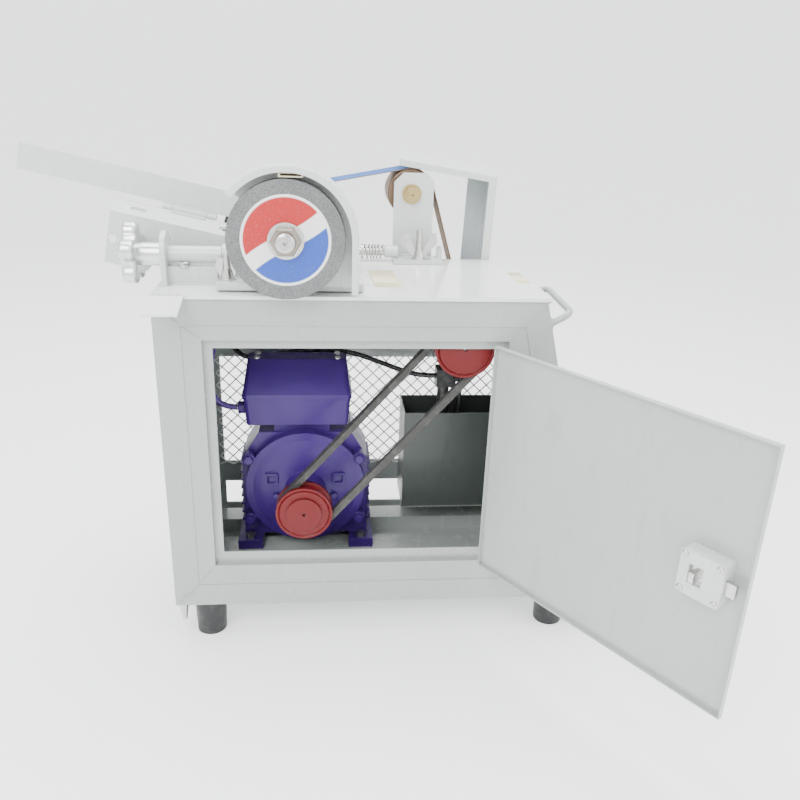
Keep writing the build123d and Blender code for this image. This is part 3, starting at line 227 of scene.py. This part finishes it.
def stone():
    """Vitrified abrasive: close grain of light and dark crystals with open pores."""
    material, tree, coords = start("grinding_stone")
    cells = add(tree, "ShaderNodeTexVoronoi", None, Vector=coords, Scale=1500.0)
    grains = noise(tree, coords, 1300.0, 3.0, 0.7)
    tone = mix(tree, remap(tree, cells.outputs["Color"], 0.2, 0.8, 0.0, 1.0),
               (0.085, 0.088, 0.090, 1), (0.225, 0.23, 0.232, 1))
    tone = mix(tree, remap(tree, grains, 0.60, 0.70, 0.0, 0.8), tone, (0.42, 0.42, 0.42, 1))
    damp = remap(tree, noise(tree, coords, 30.0, 4.0), 0.4, 0.7, 0.0, 0.35)
    tone = mix(tree, damp, tone, (0.10, 0.10, 0.10, 1))
    height = calc(tree, "ADD", cells.outputs["Distance"], grains)
    close(tree, tone, 0.86, bump(tree, height, 0.55, 0.0005, rounded(tree, 0.0008)))
    return material


def paper_disc(centre, radius):
    """A printed wheel blotter with no words: red above, blue below, a white band and a pale rim."""
    material, tree, coords = start("printed_paper")
    local = stretched(tree, coords, (1 / radius, 1 / radius, 1 / radius), centre)
    split = add(tree, "ShaderNodeSeparateXYZ", None, Vector=local)
    x, z = split.outputs[0], split.outputs[2]
    r = calc(tree, "SQRT", calc(tree, "ADD", calc(tree, "MULTIPLY", x, x), calc(tree, "MULTIPLY", z, z)))
    across = calc(tree, "SUBTRACT", calc(tree, "MULTIPLY", z, 0.82), calc(tree, "MULTIPLY", x, 0.57))
    along = calc(tree, "ADD", calc(tree, "MULTIPLY", z, 0.57), calc(tree, "MULTIPLY", x, 0.82))
    wave = calc(tree, "SINE", calc(tree, "MULTIPLY", along, 2.4))
    swing = calc(tree, "ADD", across, calc(tree, "MULTIPLY", wave, 0.07))

    def inside(value, a, b, soft=0.012):
        up = remap(tree, value, a - soft, a + soft, 0.0, 1.0)
        return calc(tree, "MULTIPLY", up, remap(tree, value, b - soft, b + soft, 1.0, 0.0))

    red, blue, white = (0.42, 0.003, 0.005, 1), (0.010, 0.060, 0.38, 1), (0.78, 0.79, 0.78, 1)
    tone = mix(tree, inside(swing, 0.17, 9.0), white, red)
    tone = mix(tree, inside(swing, -9.0, -0.20), tone, blue)
    tone = mix(tree, inside(r, 0.94, 2.0), tone, white)
    scuff = remap(tree, noise(tree, coords, 420.0, 6.0, 0.7), 0.58, 0.70, 0.0, 0.22)
    tone = mix(tree, scuff, tone, (0.42, 0.40, 0.40, 1))
    fibre = noise(tree, coords, 1400.0, 3.0)
    close(tree, tone, 0.42, bump(tree, fibre, 0.15, 0.0002, rounded(tree, 0.0002)), Coat_Weight=0.2)
    return material


def turned_metal(name, colour, rough, centre, axis, rings=2600.0):
    """Lathe-cut metal: fine rings about an axis, so that light fans out across the face."""
    material, tree, coords = start(name)
    normal = rounded(tree, 0.0006)
    local = stretched(tree, coords, (1, 1, 1), centre)
    split = add(tree, "ShaderNodeSeparateXYZ", None, Vector=local).outputs
    a, b = [split[i] for i in range(3) if i != axis]
    r = calc(tree, "SQRT", calc(tree, "ADD", calc(tree, "MULTIPLY", a, a), calc(tree, "MULTIPLY", b, b)))
    line = add(tree, "ShaderNodeTexNoise", {"noise_dimensions": "1D"}, W=calc(tree, "MULTIPLY", r, rings),
               Scale=1.0, Detail=2.0).outputs[0]
    clouds = noise(tree, coords, 70.0, 5.0, 0.65)
    tone = mix(tree, line, shade(colour, 0.82), shade(colour, 1.1))
    tone = mix(tree, remap(tree, clouds, 0.52, 0.72, 0.0, 0.5), tone, shade(colour, 0.6))
    shine = remap(tree, clouds, 0.3, 0.7, rough * 0.8, rough * 1.4)
    close(tree, tone, shine, bump(tree, line, 0.25, 0.0002, normal), metallic=1.0)
    return material


def cloth(name, colour, grain, rough, strength):
    """One side of an abrasive belt."""
    material, tree, coords = start(name)
    bits = noise(tree, coords, grain, 3.0, 0.75)
    streak = noise(tree, stretched(tree, coords, (0.25, 1.0, 0.25)), 260.0, 4.0)
    tone = mix(tree, remap(tree, bits, 0.35, 0.7, 0.0, 1.0), shade(colour, 0.6), shade(colour, 1.35))
    tone = mix(tree, remap(tree, streak, 0.55, 0.75, 0.0, 0.5), tone, shade(colour, 0.45))
    close(tree, tone, rough, bump(tree, bits, strength, 0.0004, rounded(tree, 0.0004)))
    return material


spindle_middle = middle("grinding_wheel")
cabinet_paint = enamel("cabinet_paint", (0.32, 0.35, 0.335))
fitting_paint = enamel("fitting_paint", (0.56, 0.59, 0.575), rough=0.26, peel=0.16, lumps=1.2, chips=0.5)
panel_paint = enamel("panel_paint", (0.37, 0.40, 0.385), rough=0.20, peel=0.12, grime=0.4)
# Painted light: the table plate has the same pale paint as the cabinet, but its colour is made more than
# twice as bright. This painted highlight stands in for the light that falls on its upward face.
table_paint_with_painted_light = enamel("table_paint_with_painted_light", (0.72, 0.74, 0.73), rough=0.16, peel=0.08, grime=0.45)
motor_paint = enamel("motor_paint", (0.036, 0.011, 0.135), rough=0.34, peel=0.2, lumps=1.6, grime=0.3,
                     chips=0.25, under=(0.10, 0.10, 0.10), coat=0.05, gloss=0.35)
pulley_paint = enamel("pulley_paint", (0.115, 0.002, 0.003), rough=0.36, peel=0.2, lumps=1.5, grime=0.5,
                      chips=0.6, under=(0.16, 0.15, 0.14), coat=0.04, gloss=0.3)
tank_paint = enamel("tank_paint", (0.052, 0.062, 0.058), rough=0.42, peel=0.1, grime=0.7, chips=0.4,
                    coat=0.08)
bright_steel = metal("bright_steel", (0.56, 0.56, 0.55), 0.24, (1, 0.05, 1), rust=0.25)
plated_steel = metal("plated_steel", (0.60, 0.60, 0.58), 0.26, rust=0.2)
dull_steel = metal("dull_steel", (0.33, 0.33, 0.32), 0.42, rust=0.5, cast=0.8)
yellow_zinc = metal("yellow_zinc", (0.46, 0.35, 0.17), 0.32, rust=0.3)
worn_steel = metal("worn_steel", (0.20, 0.135, 0.095), 0.46, (1, 0.05, 1), rust=0.6)
lead_plastic = plain("lead_plastic", (0.050, 0.018, 0.17), 0.30, 300.0, 0.08, 0.15)
mesh_steel = metal("wire_mesh", (0.75, 0.76, 0.74), 0.5, rust=0.15)
nut_steel = turned_metal("nut_steel", (0.33, 0.29, 0.25), 0.30, spindle_middle, 1)
knob_metal = turned_metal("knob_metal", (0.66, 0.67, 0.67), 0.30, at(-60, 60, 375), 0, 1800.0)
foot_rubber = plain("foot_rubber", (0.010, 0.010, 0.011), 0.42, 420.0, 0.25, 0.12)
belt_rubber = plain("belt_rubber", (0.030, 0.029, 0.027), 0.62, 600.0, 0.5, 0.6, (0.12, 0.11, 0.10))
wheel_rubber = plain("wheel_rubber", (0.018, 0.018, 0.018), 0.6, 500.0, 0.4, 0.4)
hose_plastic = plain("hose_plastic", (0.010, 0.010, 0.012), 0.24, 300.0, 0.08, 0.1)
nozzle_plastic = plain("nozzle_plastic", (0.62, 0.56, 0.42), 0.45, 500.0, 0.15, 0.3, (0.30, 0.26, 0.18))
switch_plastic = plain("switch_plastic", (0.014, 0.014, 0.016), 0.45, 900.0, 0.4, 0.2)
rocker_plastic = plain("rocker_plastic", (0.42, 0.015, 0.010), 0.25, 400.0, 0.05, 0.1)
label_paper = plain("label_paper", (0.74, 0.70, 0.44), 0.40, 900.0, 0.1, 0.3, (0.55, 0.52, 0.36))
grit_cloth = cloth("grit_cloth", (0.030, 0.11, 0.36), 1500.0, 0.75, 0.5)
back_cloth = cloth("back_cloth", (0.20, 0.13, 0.075), 900.0, 0.8, 0.3)
finishes = {
    cabinet_paint: ("front_frame", "rear_frame", "side_rails", "side_panels", "door_frame", "under_frame",
                    "side_handle"),
    panel_paint: ("door_panel",),
    table_paint_with_painted_light: ("table_plate",),
    fitting_paint: ("latch_case", "bearing_blocks", "spindle_housing", "wheel_guard", "base_plate",
                    "idler_bracket", "belt_guard", "rest_post", "rest_bracket", "rest_plate"),
    motor_paint: ("motor_housing", "motor_end_shield", "motor_fan_cover", "terminal_box", "terminal_lid"),
    pulley_paint: ("motor_pulley", "jackshaft_pulley"),
    tank_paint: ("water_tank",),
    bright_steel: ("motor_shaft", "jackshaft", "spindle", "tension_spring"),
    worn_steel: ("idler_roller",),
    plated_steel: ("drain_spout", "clamp_studs", "idler_wing_nut", "base_wing_nut", "hinge_frame_halves",
                   "hinge_door_halves", "latch_tongue", "wheel_flanges", "tension_rod"),
    dull_steel: ("foot_bolts",),
    yellow_zinc: ("idler_bolt",),
    mesh_steel: ("back_mesh",),
    nut_steel: ("spindle_nut",),
    knob_metal: ("rest_knob",),
    foot_rubber: ("rubber_feet",),
    belt_rubber: ("v_belt",),
    wheel_rubber: ("drive_wheel", "contact_wheel"),
    hose_plastic: ("coolant_hose",),
    lead_plastic: ("motor_lead",),
    nozzle_plastic: ("water_nozzle",),
    switch_plastic: ("water_pump", "switch_box", "motor_fan"),
    rocker_plastic: ("switch_rocker",),
    grit_cloth: ("abrasive_belt",),
    stone(): ("grinding_wheel",),
    paper_disc(spindle_middle, half("wheel_label").x): ("wheel_label",),
}
for finish, names in finishes.items():
    for name in names:
        piece = nodes[name]
        piece.data.materials.clear()
        piece.data.materials.append(finish)


# ---------------------------------------------------------------- mesh building blocks
def make(name, body, material, build, smooth=True):
    """A new piece from a function that fills a bmesh in row coordinates."""
    mesh = bmesh.new()
    build(mesh)
    bmesh.ops.recalc_face_normals(mesh, faces=mesh.faces)
    data = bpy.data.meshes.new(name)
    mesh.to_mesh(data)
    mesh.free()
    for polygon in data.polygons:
        polygon.use_smooth = smooth
    piece = bpy.data.objects.new(name, data)
    bpy.context.scene.collection.objects.link(piece)
    for m in (material if isinstance(material, (list, tuple)) else [material]):
        data.materials.append(m)
    if body:
        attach(piece, body)
    return piece


def skin(mesh, rings, closed=False, caps=True, material=0):
    """Faces between successive rings of points; closed joins the last ring to the first."""
    rows = [[mesh.verts.new(p) for p in ring] for ring in rings]
    pairs = list(zip(rows, rows[1:]))
    if closed:
        pairs.append((rows[-1], rows[0]))
    n = len(rows[0])
    for a, b in pairs:
        for i in range(n):
            mesh.faces.new((a[i], a[(i + 1) % n], b[(i + 1) % n], b[i])).material_index = material
    if caps and not closed:
        mesh.faces.new(rows[0][::-1])
        mesh.faces.new(rows[-1])


def frame_about(direction):
    d = Vector(direction).normalized()
    side = d.cross(Vector((0, 0, 1)))
    if side.length < 0.1:
        side = d.cross(Vector((1, 0, 0)))
    side.normalize()
    return d, side, d.cross(side)


def lathe(mesh, base, direction, profile, sides=32, corners=0, turn=0.0):
    """Rings of (height, radius) along a direction; corners makes the rings polygons, as on a hex head."""
    d, a, b = frame_about(direction)
    n = corners or sides
    rings = []
    for h, r in profile:
        rings.append([base + d * h + (a * cos(turn + 2 * pi * i / n) + b * sin(turn + 2 * pi * i / n)) * r
                      for i in range(n)])
    skin(mesh, rings)


def hex_bolt(mesh, base, direction, size, turn=0.0):
    """Washer and chamfered hex head standing on a surface; size is the thread's diameter in mm."""
    s = size / 1000
    lathe(mesh, base, direction, [(-0.0004, s * 0.4), (-0.0004, s * 1.05), (0.0, s * 1.08),
                                  (s * 0.16, s * 1.08),
                                  (s * 0.2, s * 1.02), (s * 0.2, s * 0.4)], 28)
    lathe(mesh, base, direction, [(s * 0.15, s * 0.55), (s * 0.2, s * 0.92), (s * 0.75, s * 0.94),
                                  (s * 0.86, s * 0.80), (s * 0.86, s * 0.3)], corners=6, turn=turn)


def pan_screw(mesh, base, direction, size, turn=0.0):
    """Domed screw head with a round, cone-shaped recess in its top."""
    s = size / 1000
    lathe(mesh, base, direction, [(-0.0003, s * 0.5), (0.0, s * 0.95), (s * 0.25, s * 0.93),
                                  (s * 0.48, s * 0.72),
                                  (s * 0.58, s * 0.42), (s * 0.40, s * 0.30), (s * 0.22, s * 0.12)], 24)


def wobble(i, seed):
    """A repeatable uneven number between -1 and 1."""
    value = sin(i * 12.9898 + seed * 78.233) * 43758.5453
    return 2 * (value - int(value)) - (1 if value > 0 else -1)


def bead(mesh, p, q, size, seed=0, step=1.6):
    """A weld bead between two points: overlapping ripples of uneven width."""
    d, a, b = frame_about(q - p)
    length = (q - p).length
    n = max(4, ceil(length * 1000 / step))
    rings = []
    for i in range(n + 1):
        t = i / n
        end = min(1.0, 0.25 + 4.5 * min(t, 1 - t) * length / 0.02)
        r = size / 1000 * (0.85 + 0.14 * (i % 2) + 0.16 * wobble(i, seed)) * min(end, 1.0)
        shift = a * (0.12 * wobble(i, seed + 5) * size / 1000)
        shift += b * (0.10 * wobble(i, seed + 9) * size / 1000)
        c = p + d * (length * t) + shift
        rings.append([c + (a * cos(k * pi / 4) + b * sin(k * pi / 4)) * r for k in range(8)])
    skin(mesh, rings)


# ---------------------------------------------------------------- weld beads on the cabinet
def edge_x(z):
    """Outer edge of the leaning right post."""
    return 386.5 + (338.5 - z) * 0.255


def welds(mesh):
    corners = [
        ((-50, 0.3, -55), (-23, 0.3, -29)), ((edge_x(-55) - 2, 0.3, -55), (edge_x(-29) - 29, 0.3, -29)),
        ((-50, 0.3, 334), (-23, 0.3, 309)), ((edge_x(334) - 2, 0.3, 334), (edge_x(309) - 29, 0.3, 309)),
    ]
    for k, (p, q) in enumerate(corners):
        bead(mesh, at(*p), at(*q), 1.5, k)
    inner = [
        ((-22, 0.6, -27), (-22, 0.6, 308)), ((edge_x(-27) - 30, 0.6, -27), (edge_x(308) - 30, 0.6, 308)),
        ((-22, 0.6, 308.3), (edge_x(308) - 30, 0.6, 308.3)),
        ((-22, 0.6, -27.8), (edge_x(-27) - 30, 0.6, -27.8)),
    ]
    for k, (p, q) in enumerate(inner):
        bead(mesh, at(*p), at(*q), 0.75, 10 + k, 2.2)
    mitres = [((-2, 0.9, -2), (-21, 0.9, -26)), ((-2, 0.9, 293), (-21, 0.9, 307)),
              ((348, 0.9, -2), (edge_x(-26) - 31, 0.9, -26)), ((348, 0.9, 293), (edge_x(307) - 31, 0.9, 307))]
    for k, (p, q) in enumerate(mitres):
        bead(mesh, at(*p), at(*q), 0.9, 20 + k)
    for k, x in enumerate((-40, 14, 66, 122, 176, 232, 288, 340, 376)):
        bead(mesh, at(x, -0.6, 338.0), at(x + 13 + 3 * wobble(k, 3), -0.6, 338.2), 2.0, 30 + k)
    for k, z in enumerate((30, 140, 250)):
        for x, side in ((-52.2, 0), (edge_x(z) + 0.2, 1)):
            top = edge_x(z + 16) + 0.2 if side else x
            bead(mesh, at(x, 8, z), at(top, 8, z + 16), 1.6, 50 + k)
    bead(mesh, at(-51, -2.6, 342.0), at(-16, -2.6, 342.0), 1.3, 61)
    for y, z in ((8, 310), (112, 322)):
        x = edge_x(z) + 1.5
        ring = [at(x, y + 7 * cos(a * pi / 6), z + 7 * sin(a * pi / 6)) for a in range(12)]
        for a in range(12):
            bead(mesh, ring[a], ring[(a + 1) % 12], 1.2, 70 + a)


make("weld_beads", "cabinet", cabinet_paint, welds)


def fitting_welds(mesh):
    bead(mesh, at(-40.3, 40, 343), at(-40.3, 80, 343), 1.6, 3)
    bead(mesh, at(-46.3, 41, 343), at(-46.3, 79, 343), 1.4, 4)
    bead(mesh, at(-39, 48.8, 343), at(14, 48.8, 343), 1.5, 5)
    bead(mesh, at(228, 216.6, 348), at(280, 216.6, 348), 1.6, 6)
    for x0, x1 in ((34, 58), (92, 116), (138, 162)):
        bead(mesh, at(x0, 25.6, 343.6), at(x1, 25.6, 343.6), 1.6, x0)
    for k in range(10):
        a0, a1 = 2 * pi * k / 10, 2 * pi * (k + 1) / 10
        bead(mesh, at(-39.6, 60 + 9.8 * cos(a0), 375 + 9.8 * sin(a0)),
             at(-39.6, 60 + 9.8 * cos(a1), 375 + 9.8 * sin(a1)), 1.3, 80 + k)


make("fitting_welds", "cabinet", fitting_paint, fitting_welds)


# ---------------------------------------------------------------- screws and bolts
def dark_bolts(mesh):
    shield_y = (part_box("motor_end_shield")[0].y - zero.y) * 1000 + 20
    for k, (dx, dz) in enumerate(((-73, 42), (70.5, 42), (-73, -46), (70.5, -46))):
        hex_bolt(mesh, at(109.5 + dx, shield_y, 63.5 + dz), (0, -1, 0), 7.0, 0.3 * k)


def bright_screws(mesh):
    lid_low, lid_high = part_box("terminal_lid")
    lid_middle = (lid_low.x + lid_high.x) / 2
    for x in (-0.052, 0.052):
        for y in (lid_low.y + 0.034, lid_high.y - 0.030):
            pan_screw(mesh, Vector((lid_middle + x, y, lid_high.z - 0.0002)), (0, 0, 1), 5.0)
    for y in (64, 80, 156, 172):
        for x in (270, 327):
            hex_bolt(mesh, at(x, y, 326.3), (0, 0, -1), 7.0, 0.4)
    for x, y in ((64, 34), (64, 170), (128, 34), (128, 170)):
        hex_bolt(mesh, at(x, y, 362.4), (0, 0, 1), 7.0, 0.2)
    hex_bolt(mesh, at(-22, 51, 363), (0, 0, 1), 6.0, 0.1)
    for z in (300, 322):
        hex_bolt(mesh, at(353, 227.1, z), (0, 1, 0), 5.0, 0.2)


make("dark_bolts", "cabinet", motor_paint, dark_bolts, smooth=False)
make("bright_bolts", "cabinet", plated_steel, bright_screws, smooth=False)

# The open door's own directions: along it from the hinge, up, and towards its inner side.
door_turn = radians(56.1)
along, inward = Vector((cos(door_turn), -sin(door_turn), 0)), Vector((-sin(door_turn), -cos(door_turn), 0))


def on_door(u, z, w):
    return at(335.5, -4.0, z) + along * (u / 1000) + inward * (w / 1000)


def hinge_screws(mesh):
    for z in (62.3, 230.3):
        for u, dz in ((9, 6), (19, 17), (9, 17), (19, 6)):
            pan_screw(mesh, on_door(u, z + dz, 3.6), -inward, 3.2)


def latch_detail(mesh):
    for u, z in ((272.5, 126.5), (307.5, 126.5), (272.5, 163.5), (307.5, 163.5)):
        pan_screw(mesh, on_door(u, z, 24.4), inward, 3.6)


make("hinge_screws", "door", plated_steel, hinge_screws)
make("latch_screws", "door", plated_steel, latch_detail)


# ---------------------------------------------------------------- abrasive belt and spring
def tangent(a, b):
    """Ends of the belt's straight run from wheel a to wheel b; each wheel is (x, z, radius)."""
    length = ((b[0] - a[0]) ** 2 + (b[1] - a[1]) ** 2) ** 0.5
    lift = atan2(b[1] - a[1], b[0] - a[0]) + acos((a[2] - b[2]) / length)
    return ((a[0] + a[2] * cos(lift), a[1] + a[2] * sin(lift)),
            (b[0] + b[2] * cos(lift), b[1] + b[2] * sin(lift)))


def belt_path(gap):
    wheels = []
    for name in ("contact_wheel", "idler_roller", "drive_wheel"):
        m = middle(name)
        wheels.append((m.x, m.z, half(name).x + gap))
    runs = [tangent(wheels[i], wheels[(i + 1) % 3]) for i in range(3)]
    points = []
    for i, (p, q) in enumerate(runs):
        n = 40
        for k in range(n):
            t = k / n
            points.append((p[0] + (q[0] - p[0]) * t, p[1] + (q[1] - p[1]) * t))
        x, z, r = wheels[(i + 1) % 3]
        leave = runs[(i + 1) % 3][0]
        a0, a1 = atan2(q[1] - z, q[0] - x), atan2(leave[1] - z, leave[0] - x)
        while a1 > a0:
            a1 -= 2 * pi
        n = max(6, ceil((a0 - a1) / radians(6)))
        for k in range(n):
            a = a0 + (a1 - a0) * k / n
            points.append((x + r * cos(a), z + r * sin(a)))
    return points


def belt(mesh):
    outer, inner = belt_path(0.00115), belt_path(0.00005)
    lo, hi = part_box("abrasive_belt")
    y0, y1 = lo.y + 0.0004, hi.y - 0.0004
    steps = 6
    grid = {}
    for i, (o, n) in enumerate(zip(outer, inner)):
        for side, (x, z) in ((0, o), (1, n)):
            for k in range(steps + 1):
                fray = 0.0003 * wobble(i, k + 4) if k in (0, steps) else 0.0
                grid[i, side, k] = mesh.verts.new((x, y0 + (y1 - y0) * k / steps + fray, z))
    count = len(outer)
    for i in range(count):
        j = (i + 1) % count
        for k in range(steps):
            mesh.faces.new((grid[i, 0, k], grid[j, 0, k], grid[j, 0, k + 1], grid[i, 0, k + 1]))
            back = mesh.faces.new((grid[i, 1, k + 1], grid[j, 1, k + 1], grid[j, 1, k], grid[i, 1, k]))
            back.material_index = 1
        for k in (0, steps):
            mesh.faces.new((grid[i, 0, k], grid[i, 1, k], grid[j, 1, k], grid[j, 0, k])).material_index = 1


belt_piece = make("belt_cloth", None, [grit_cloth, back_cloth], belt)
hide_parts("abrasive_belt")
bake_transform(belt_piece)


def spring(mesh):
    lo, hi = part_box("tension_spring")
    c = (lo + hi) / 2
    wire, turns = 0.0011, 5.5
    r = (hi.z - lo.z) / 2 - wire
    n = 150
    rings = []
    for i in range(n + 1):
        t = i / n
        a = 2 * pi * turns * t
        squeeze = t + 0.035 * sin(2 * pi * t)
        x = lo.x + wire + (hi.x - lo.x - 2 * wire) * squeeze
        p = Vector((x, c.y + r * cos(a), c.z + r * sin(a)))
        out = Vector((0, cos(a), sin(a)))
        forward = Vector((0.16, -sin(a), cos(a))).normalized()
        up = forward.cross(out)
        rings.append([p + (out * cos(k * pi / 4) + up * sin(k * pi / 4)) * wire for k in range(8)])
    skin(mesh, rings)


spring_piece = make("spring_wire", None, bright_steel, spring)
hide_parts("tension_spring")
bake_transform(spring_piece)


# ---------------------------------------------------------------- coolant hose and motor lead
def tube(name, node, route, diameter, material):
    """A hose on one smooth curve; it leaves the object and goes back into it."""
    data = bpy.data.curves.new(name, "CURVE")
    data.dimensions = "3D"
    data.bevel_depth, data.bevel_resolution, data.resolution_u = diameter / 2, 5, 10
    data.use_fill_caps = True
    spline = data.splines.new("NURBS")
    spline.points.add(len(route) - 1)
    for point, place in zip(spline.points, route):
        point.co = (*at(*place), 1.0)
    spline.order_u, spline.use_endpoint_u = 3, True
    data.materials.append(material)
    piece = bpy.data.objects.new(name, data)
    bpy.context.scene.collection.objects.link(piece)
    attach(piece, "cabinet")
    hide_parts(node)


coolant_route = [
    (102.1, 30, 471.7), (102.1, 56, 471.7), (90.1, 96, 466), (60, 134, 452), (26, 160, 424), (8, 175, 386),
    (6, 176, 340), (7, 177, 288), (4, 186, 240), (22, 193, 206), (66, 193, 213), (116, 193, 220),
    (166, 192, 219), (208, 186, 206), (242, 171, 197), (266, 160, 194), (287, 160, 194),
]
lead_route = [
    (23, 110, 168), (3, 110, 169), (-10, 106, 190), (-8, 102, 226), (-2, 110, 258), (-12, 132, 280),
    (-28, 152, 280), (-47.8, 152, 280),
]
tube("coolant_tube", "coolant_hose", coolant_route, 0.007, hose_plastic)
tube("motor_cable", "motor_lead", lead_route, 0.0078, lead_plastic)


# ---------------------------------------------------------------- expanded mesh in the back
def expanded_mesh(mesh):
    lo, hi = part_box("back_mesh")
    y = (lo.y + hi.y) / 2
    wide, tall, strand, thick = 0.0185, 0.0092, 0.0012, 0.0005
    columns, rows = int((hi.x - lo.x) / (wide / 2)), int((hi.z - lo.z) / tall)
    for r in range(rows + 1):
        rings = []
        for i in range(columns + 1):
            up = 1 if (i + r) % 2 else -1
            x = lo.x + i * wide / 2
            z = min(max(lo.z + r * tall + up * tall / 2, lo.z + strand), hi.z - strand)
            tilt = 0.0003 * up
            rings.append([Vector((x, y - thick + tilt, z - strand)),
                          Vector((x, y + thick + tilt, z - strand)),
                          Vector((x, y + thick - tilt, z + strand)),
                          Vector((x, y - thick - tilt, z + strand))])
        skin(mesh, rings)


mesh_piece = make("mesh_strands", "cabinet", mesh_steel, expanded_mesh, smooth=False)
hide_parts("back_mesh")


# ---------------------------------------------------------------- blank paper labels on the table
def labels(mesh):
    top = (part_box("table_plate")[1].z - zero.z) * 1000
    side = (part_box("table_plate")[1].x - zero.x) * 1000 - 13
    for x, y, w, d, turn in ((208, 93, 32, 92, 0.04), (side, 106, 15, 58, 0.0)):
        n = 10
        rings = []
        for i in range(n + 1):
            u = (i / n - 0.5) * w
            lift = 0.25 + (0.35 if i in (0, n) else 0.0)
            points = []
            for v, z in ((-d / 2, lift), (d / 2, lift), (d / 2, 0.0), (-d / 2, 0.0)):
                dx, dy = u * cos(turn) - v * sin(turn), u * sin(turn) + v * cos(turn)
                points.append(at(x + dx, y + dy, top + z))
            rings.append(points)
        skin(mesh, rings)


make("blank_labels", "cabinet", label_paper, labels)


# ---------------------------------------------------------------- thread on the spindle's nose
def thread(mesh):
    lo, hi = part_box("spindle")
    c = spindle_middle
    y0, y1 = lo.y + 0.0016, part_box("spindle_nut")[0].y - 0.0001
    n, turns = 120, 3.4
    rings = []
    for i in range(n + 1):
        t = i / n
        a = 2 * pi * turns * t
        fade = min(1.0, 12 * t, 12 * (1 - t))
        out = Vector((cos(a), 0, sin(a)))
        p = Vector((c.x, y0 + 0.0006 + (y1 - y0 - 0.0012) * t, c.z)) + out * 0.0098
        rings.append([p + Vector((0, -0.0006, 0)), p + out * 0.0008 * fade + out * 0.00005,
                      p + Vector((0, 0.0006, 0)),
                      p - out * 0.0004])
    skin(mesh, rings)


make("spindle_thread", "wheel_spindle", nut_steel, thread)

# ---------------------------------------------------------------- floor, light and camera
floor_paint = bpy.data.materials.new("floor_paint")
floor_paint.use_nodes = True
shader = floor_paint.node_tree.nodes["Principled BSDF"]
shader.inputs["Base Color"].default_value = (0.86, 0.87, 0.87, 1)
shader.inputs["Roughness"].default_value = 0.7
shader.inputs["Emission Color"].default_value = (1.0, 1.0, 1.0, 1)
shader.inputs["Emission Strength"].default_value = 0.62


def backdrop(mesh):
    """A round floor that curves up into a wall on all sides."""
    profile = [(0.5, 0.0), (1.5, 0.0)]
    profile += [(3.0 + 2.0 * sin(a * pi / 24), 2.0 - 2.0 * cos(a * pi / 24)) for a in range(13)]
    profile.append((5.0, 8.0))
    sides = 96
    angles = [2 * pi * k / sides for k in range(sides)]
    rows = [[mesh.verts.new((r * cos(a), r * sin(a), z)) for a in angles] for r, z in profile]
    mesh.faces.new(rows[0])
    for a, b in zip(rows, rows[1:]):
        for k in range(sides):
            mesh.faces.new((a[k], b[k], b[(k + 1) % sides], a[(k + 1) % sides]))


data = bmesh.new()
backdrop(data)
floor_mesh = bpy.data.meshes.new("floor")
data.to_mesh(floor_mesh)
data.free()
floor = bpy.data.objects.new("floor", floor_mesh)
bpy.context.scene.collection.objects.link(floor)
floor_mesh.materials.append(floor_paint)
for polygon in floor_mesh.polygons:
    polygon.use_smooth = True


def area_light(name, place, target, size, power, colour=(1, 1, 1)):
    light = bpy.data.lights.new(name, "AREA")
    light.shape, light.size, light.size_y = "RECTANGLE", size[0], size[1]
    light.energy, light.color = power, colour
    lamp = bpy.data.objects.new(name, light)
    lamp.location = place
    lamp.rotation_euler = (Vector(target) - Vector(place)).to_track_quat("-Z", "Y").to_euler()
    bpy.context.scene.collection.objects.link(lamp)


area_light("key_light", (-0.9, -1.7, 2.0), (0, 0, 0.3), (1.3, 1.3), 58)
area_light("fill_light", (1.7, -1.1, 1.2), (0, 0, 0.3), (1.2, 1.2), 10)
area_light("top_light", (0.1, 0.3, 2.3), (0, 0.1, 0.4), (2.0, 1.4), 90)
world = bpy.data.worlds.new("studio")
world.use_nodes = True
world.node_tree.nodes["Background"].inputs[0].default_value = (0.97, 0.985, 1.0, 1)
world.node_tree.nodes["Background"].inputs[1].default_value = 0.42
bpy.context.scene.world = world

yaw, pitch, roll = 0.094981, 0.371141, 0.0318382
forward = Vector((sin(yaw) * cos(pitch), cos(yaw) * cos(pitch), -sin(pitch)))
level = Vector((cos(yaw), -sin(yaw), 0))
upright = level.cross(forward)
right = level * cos(roll) + upright * sin(roll)
up = upright * cos(roll) - level * sin(roll)
lens = bpy.data.cameras.new("camera")
lens.lens, lens.sensor_width, lens.shift_x = 34.628, 36.0, 0.00666
lens.clip_start, lens.clip_end = 0.01, 50.0
camera = bpy.data.objects.new("camera", lens)
turn = Matrix((right, up, -forward)).transposed().to_4x4()
camera.matrix_world = Matrix.Translation(at(137.431, -828.499, 544.215)) @ turn
bpy.context.scene.collection.objects.link(camera)
bpy.context.scene.camera = camera
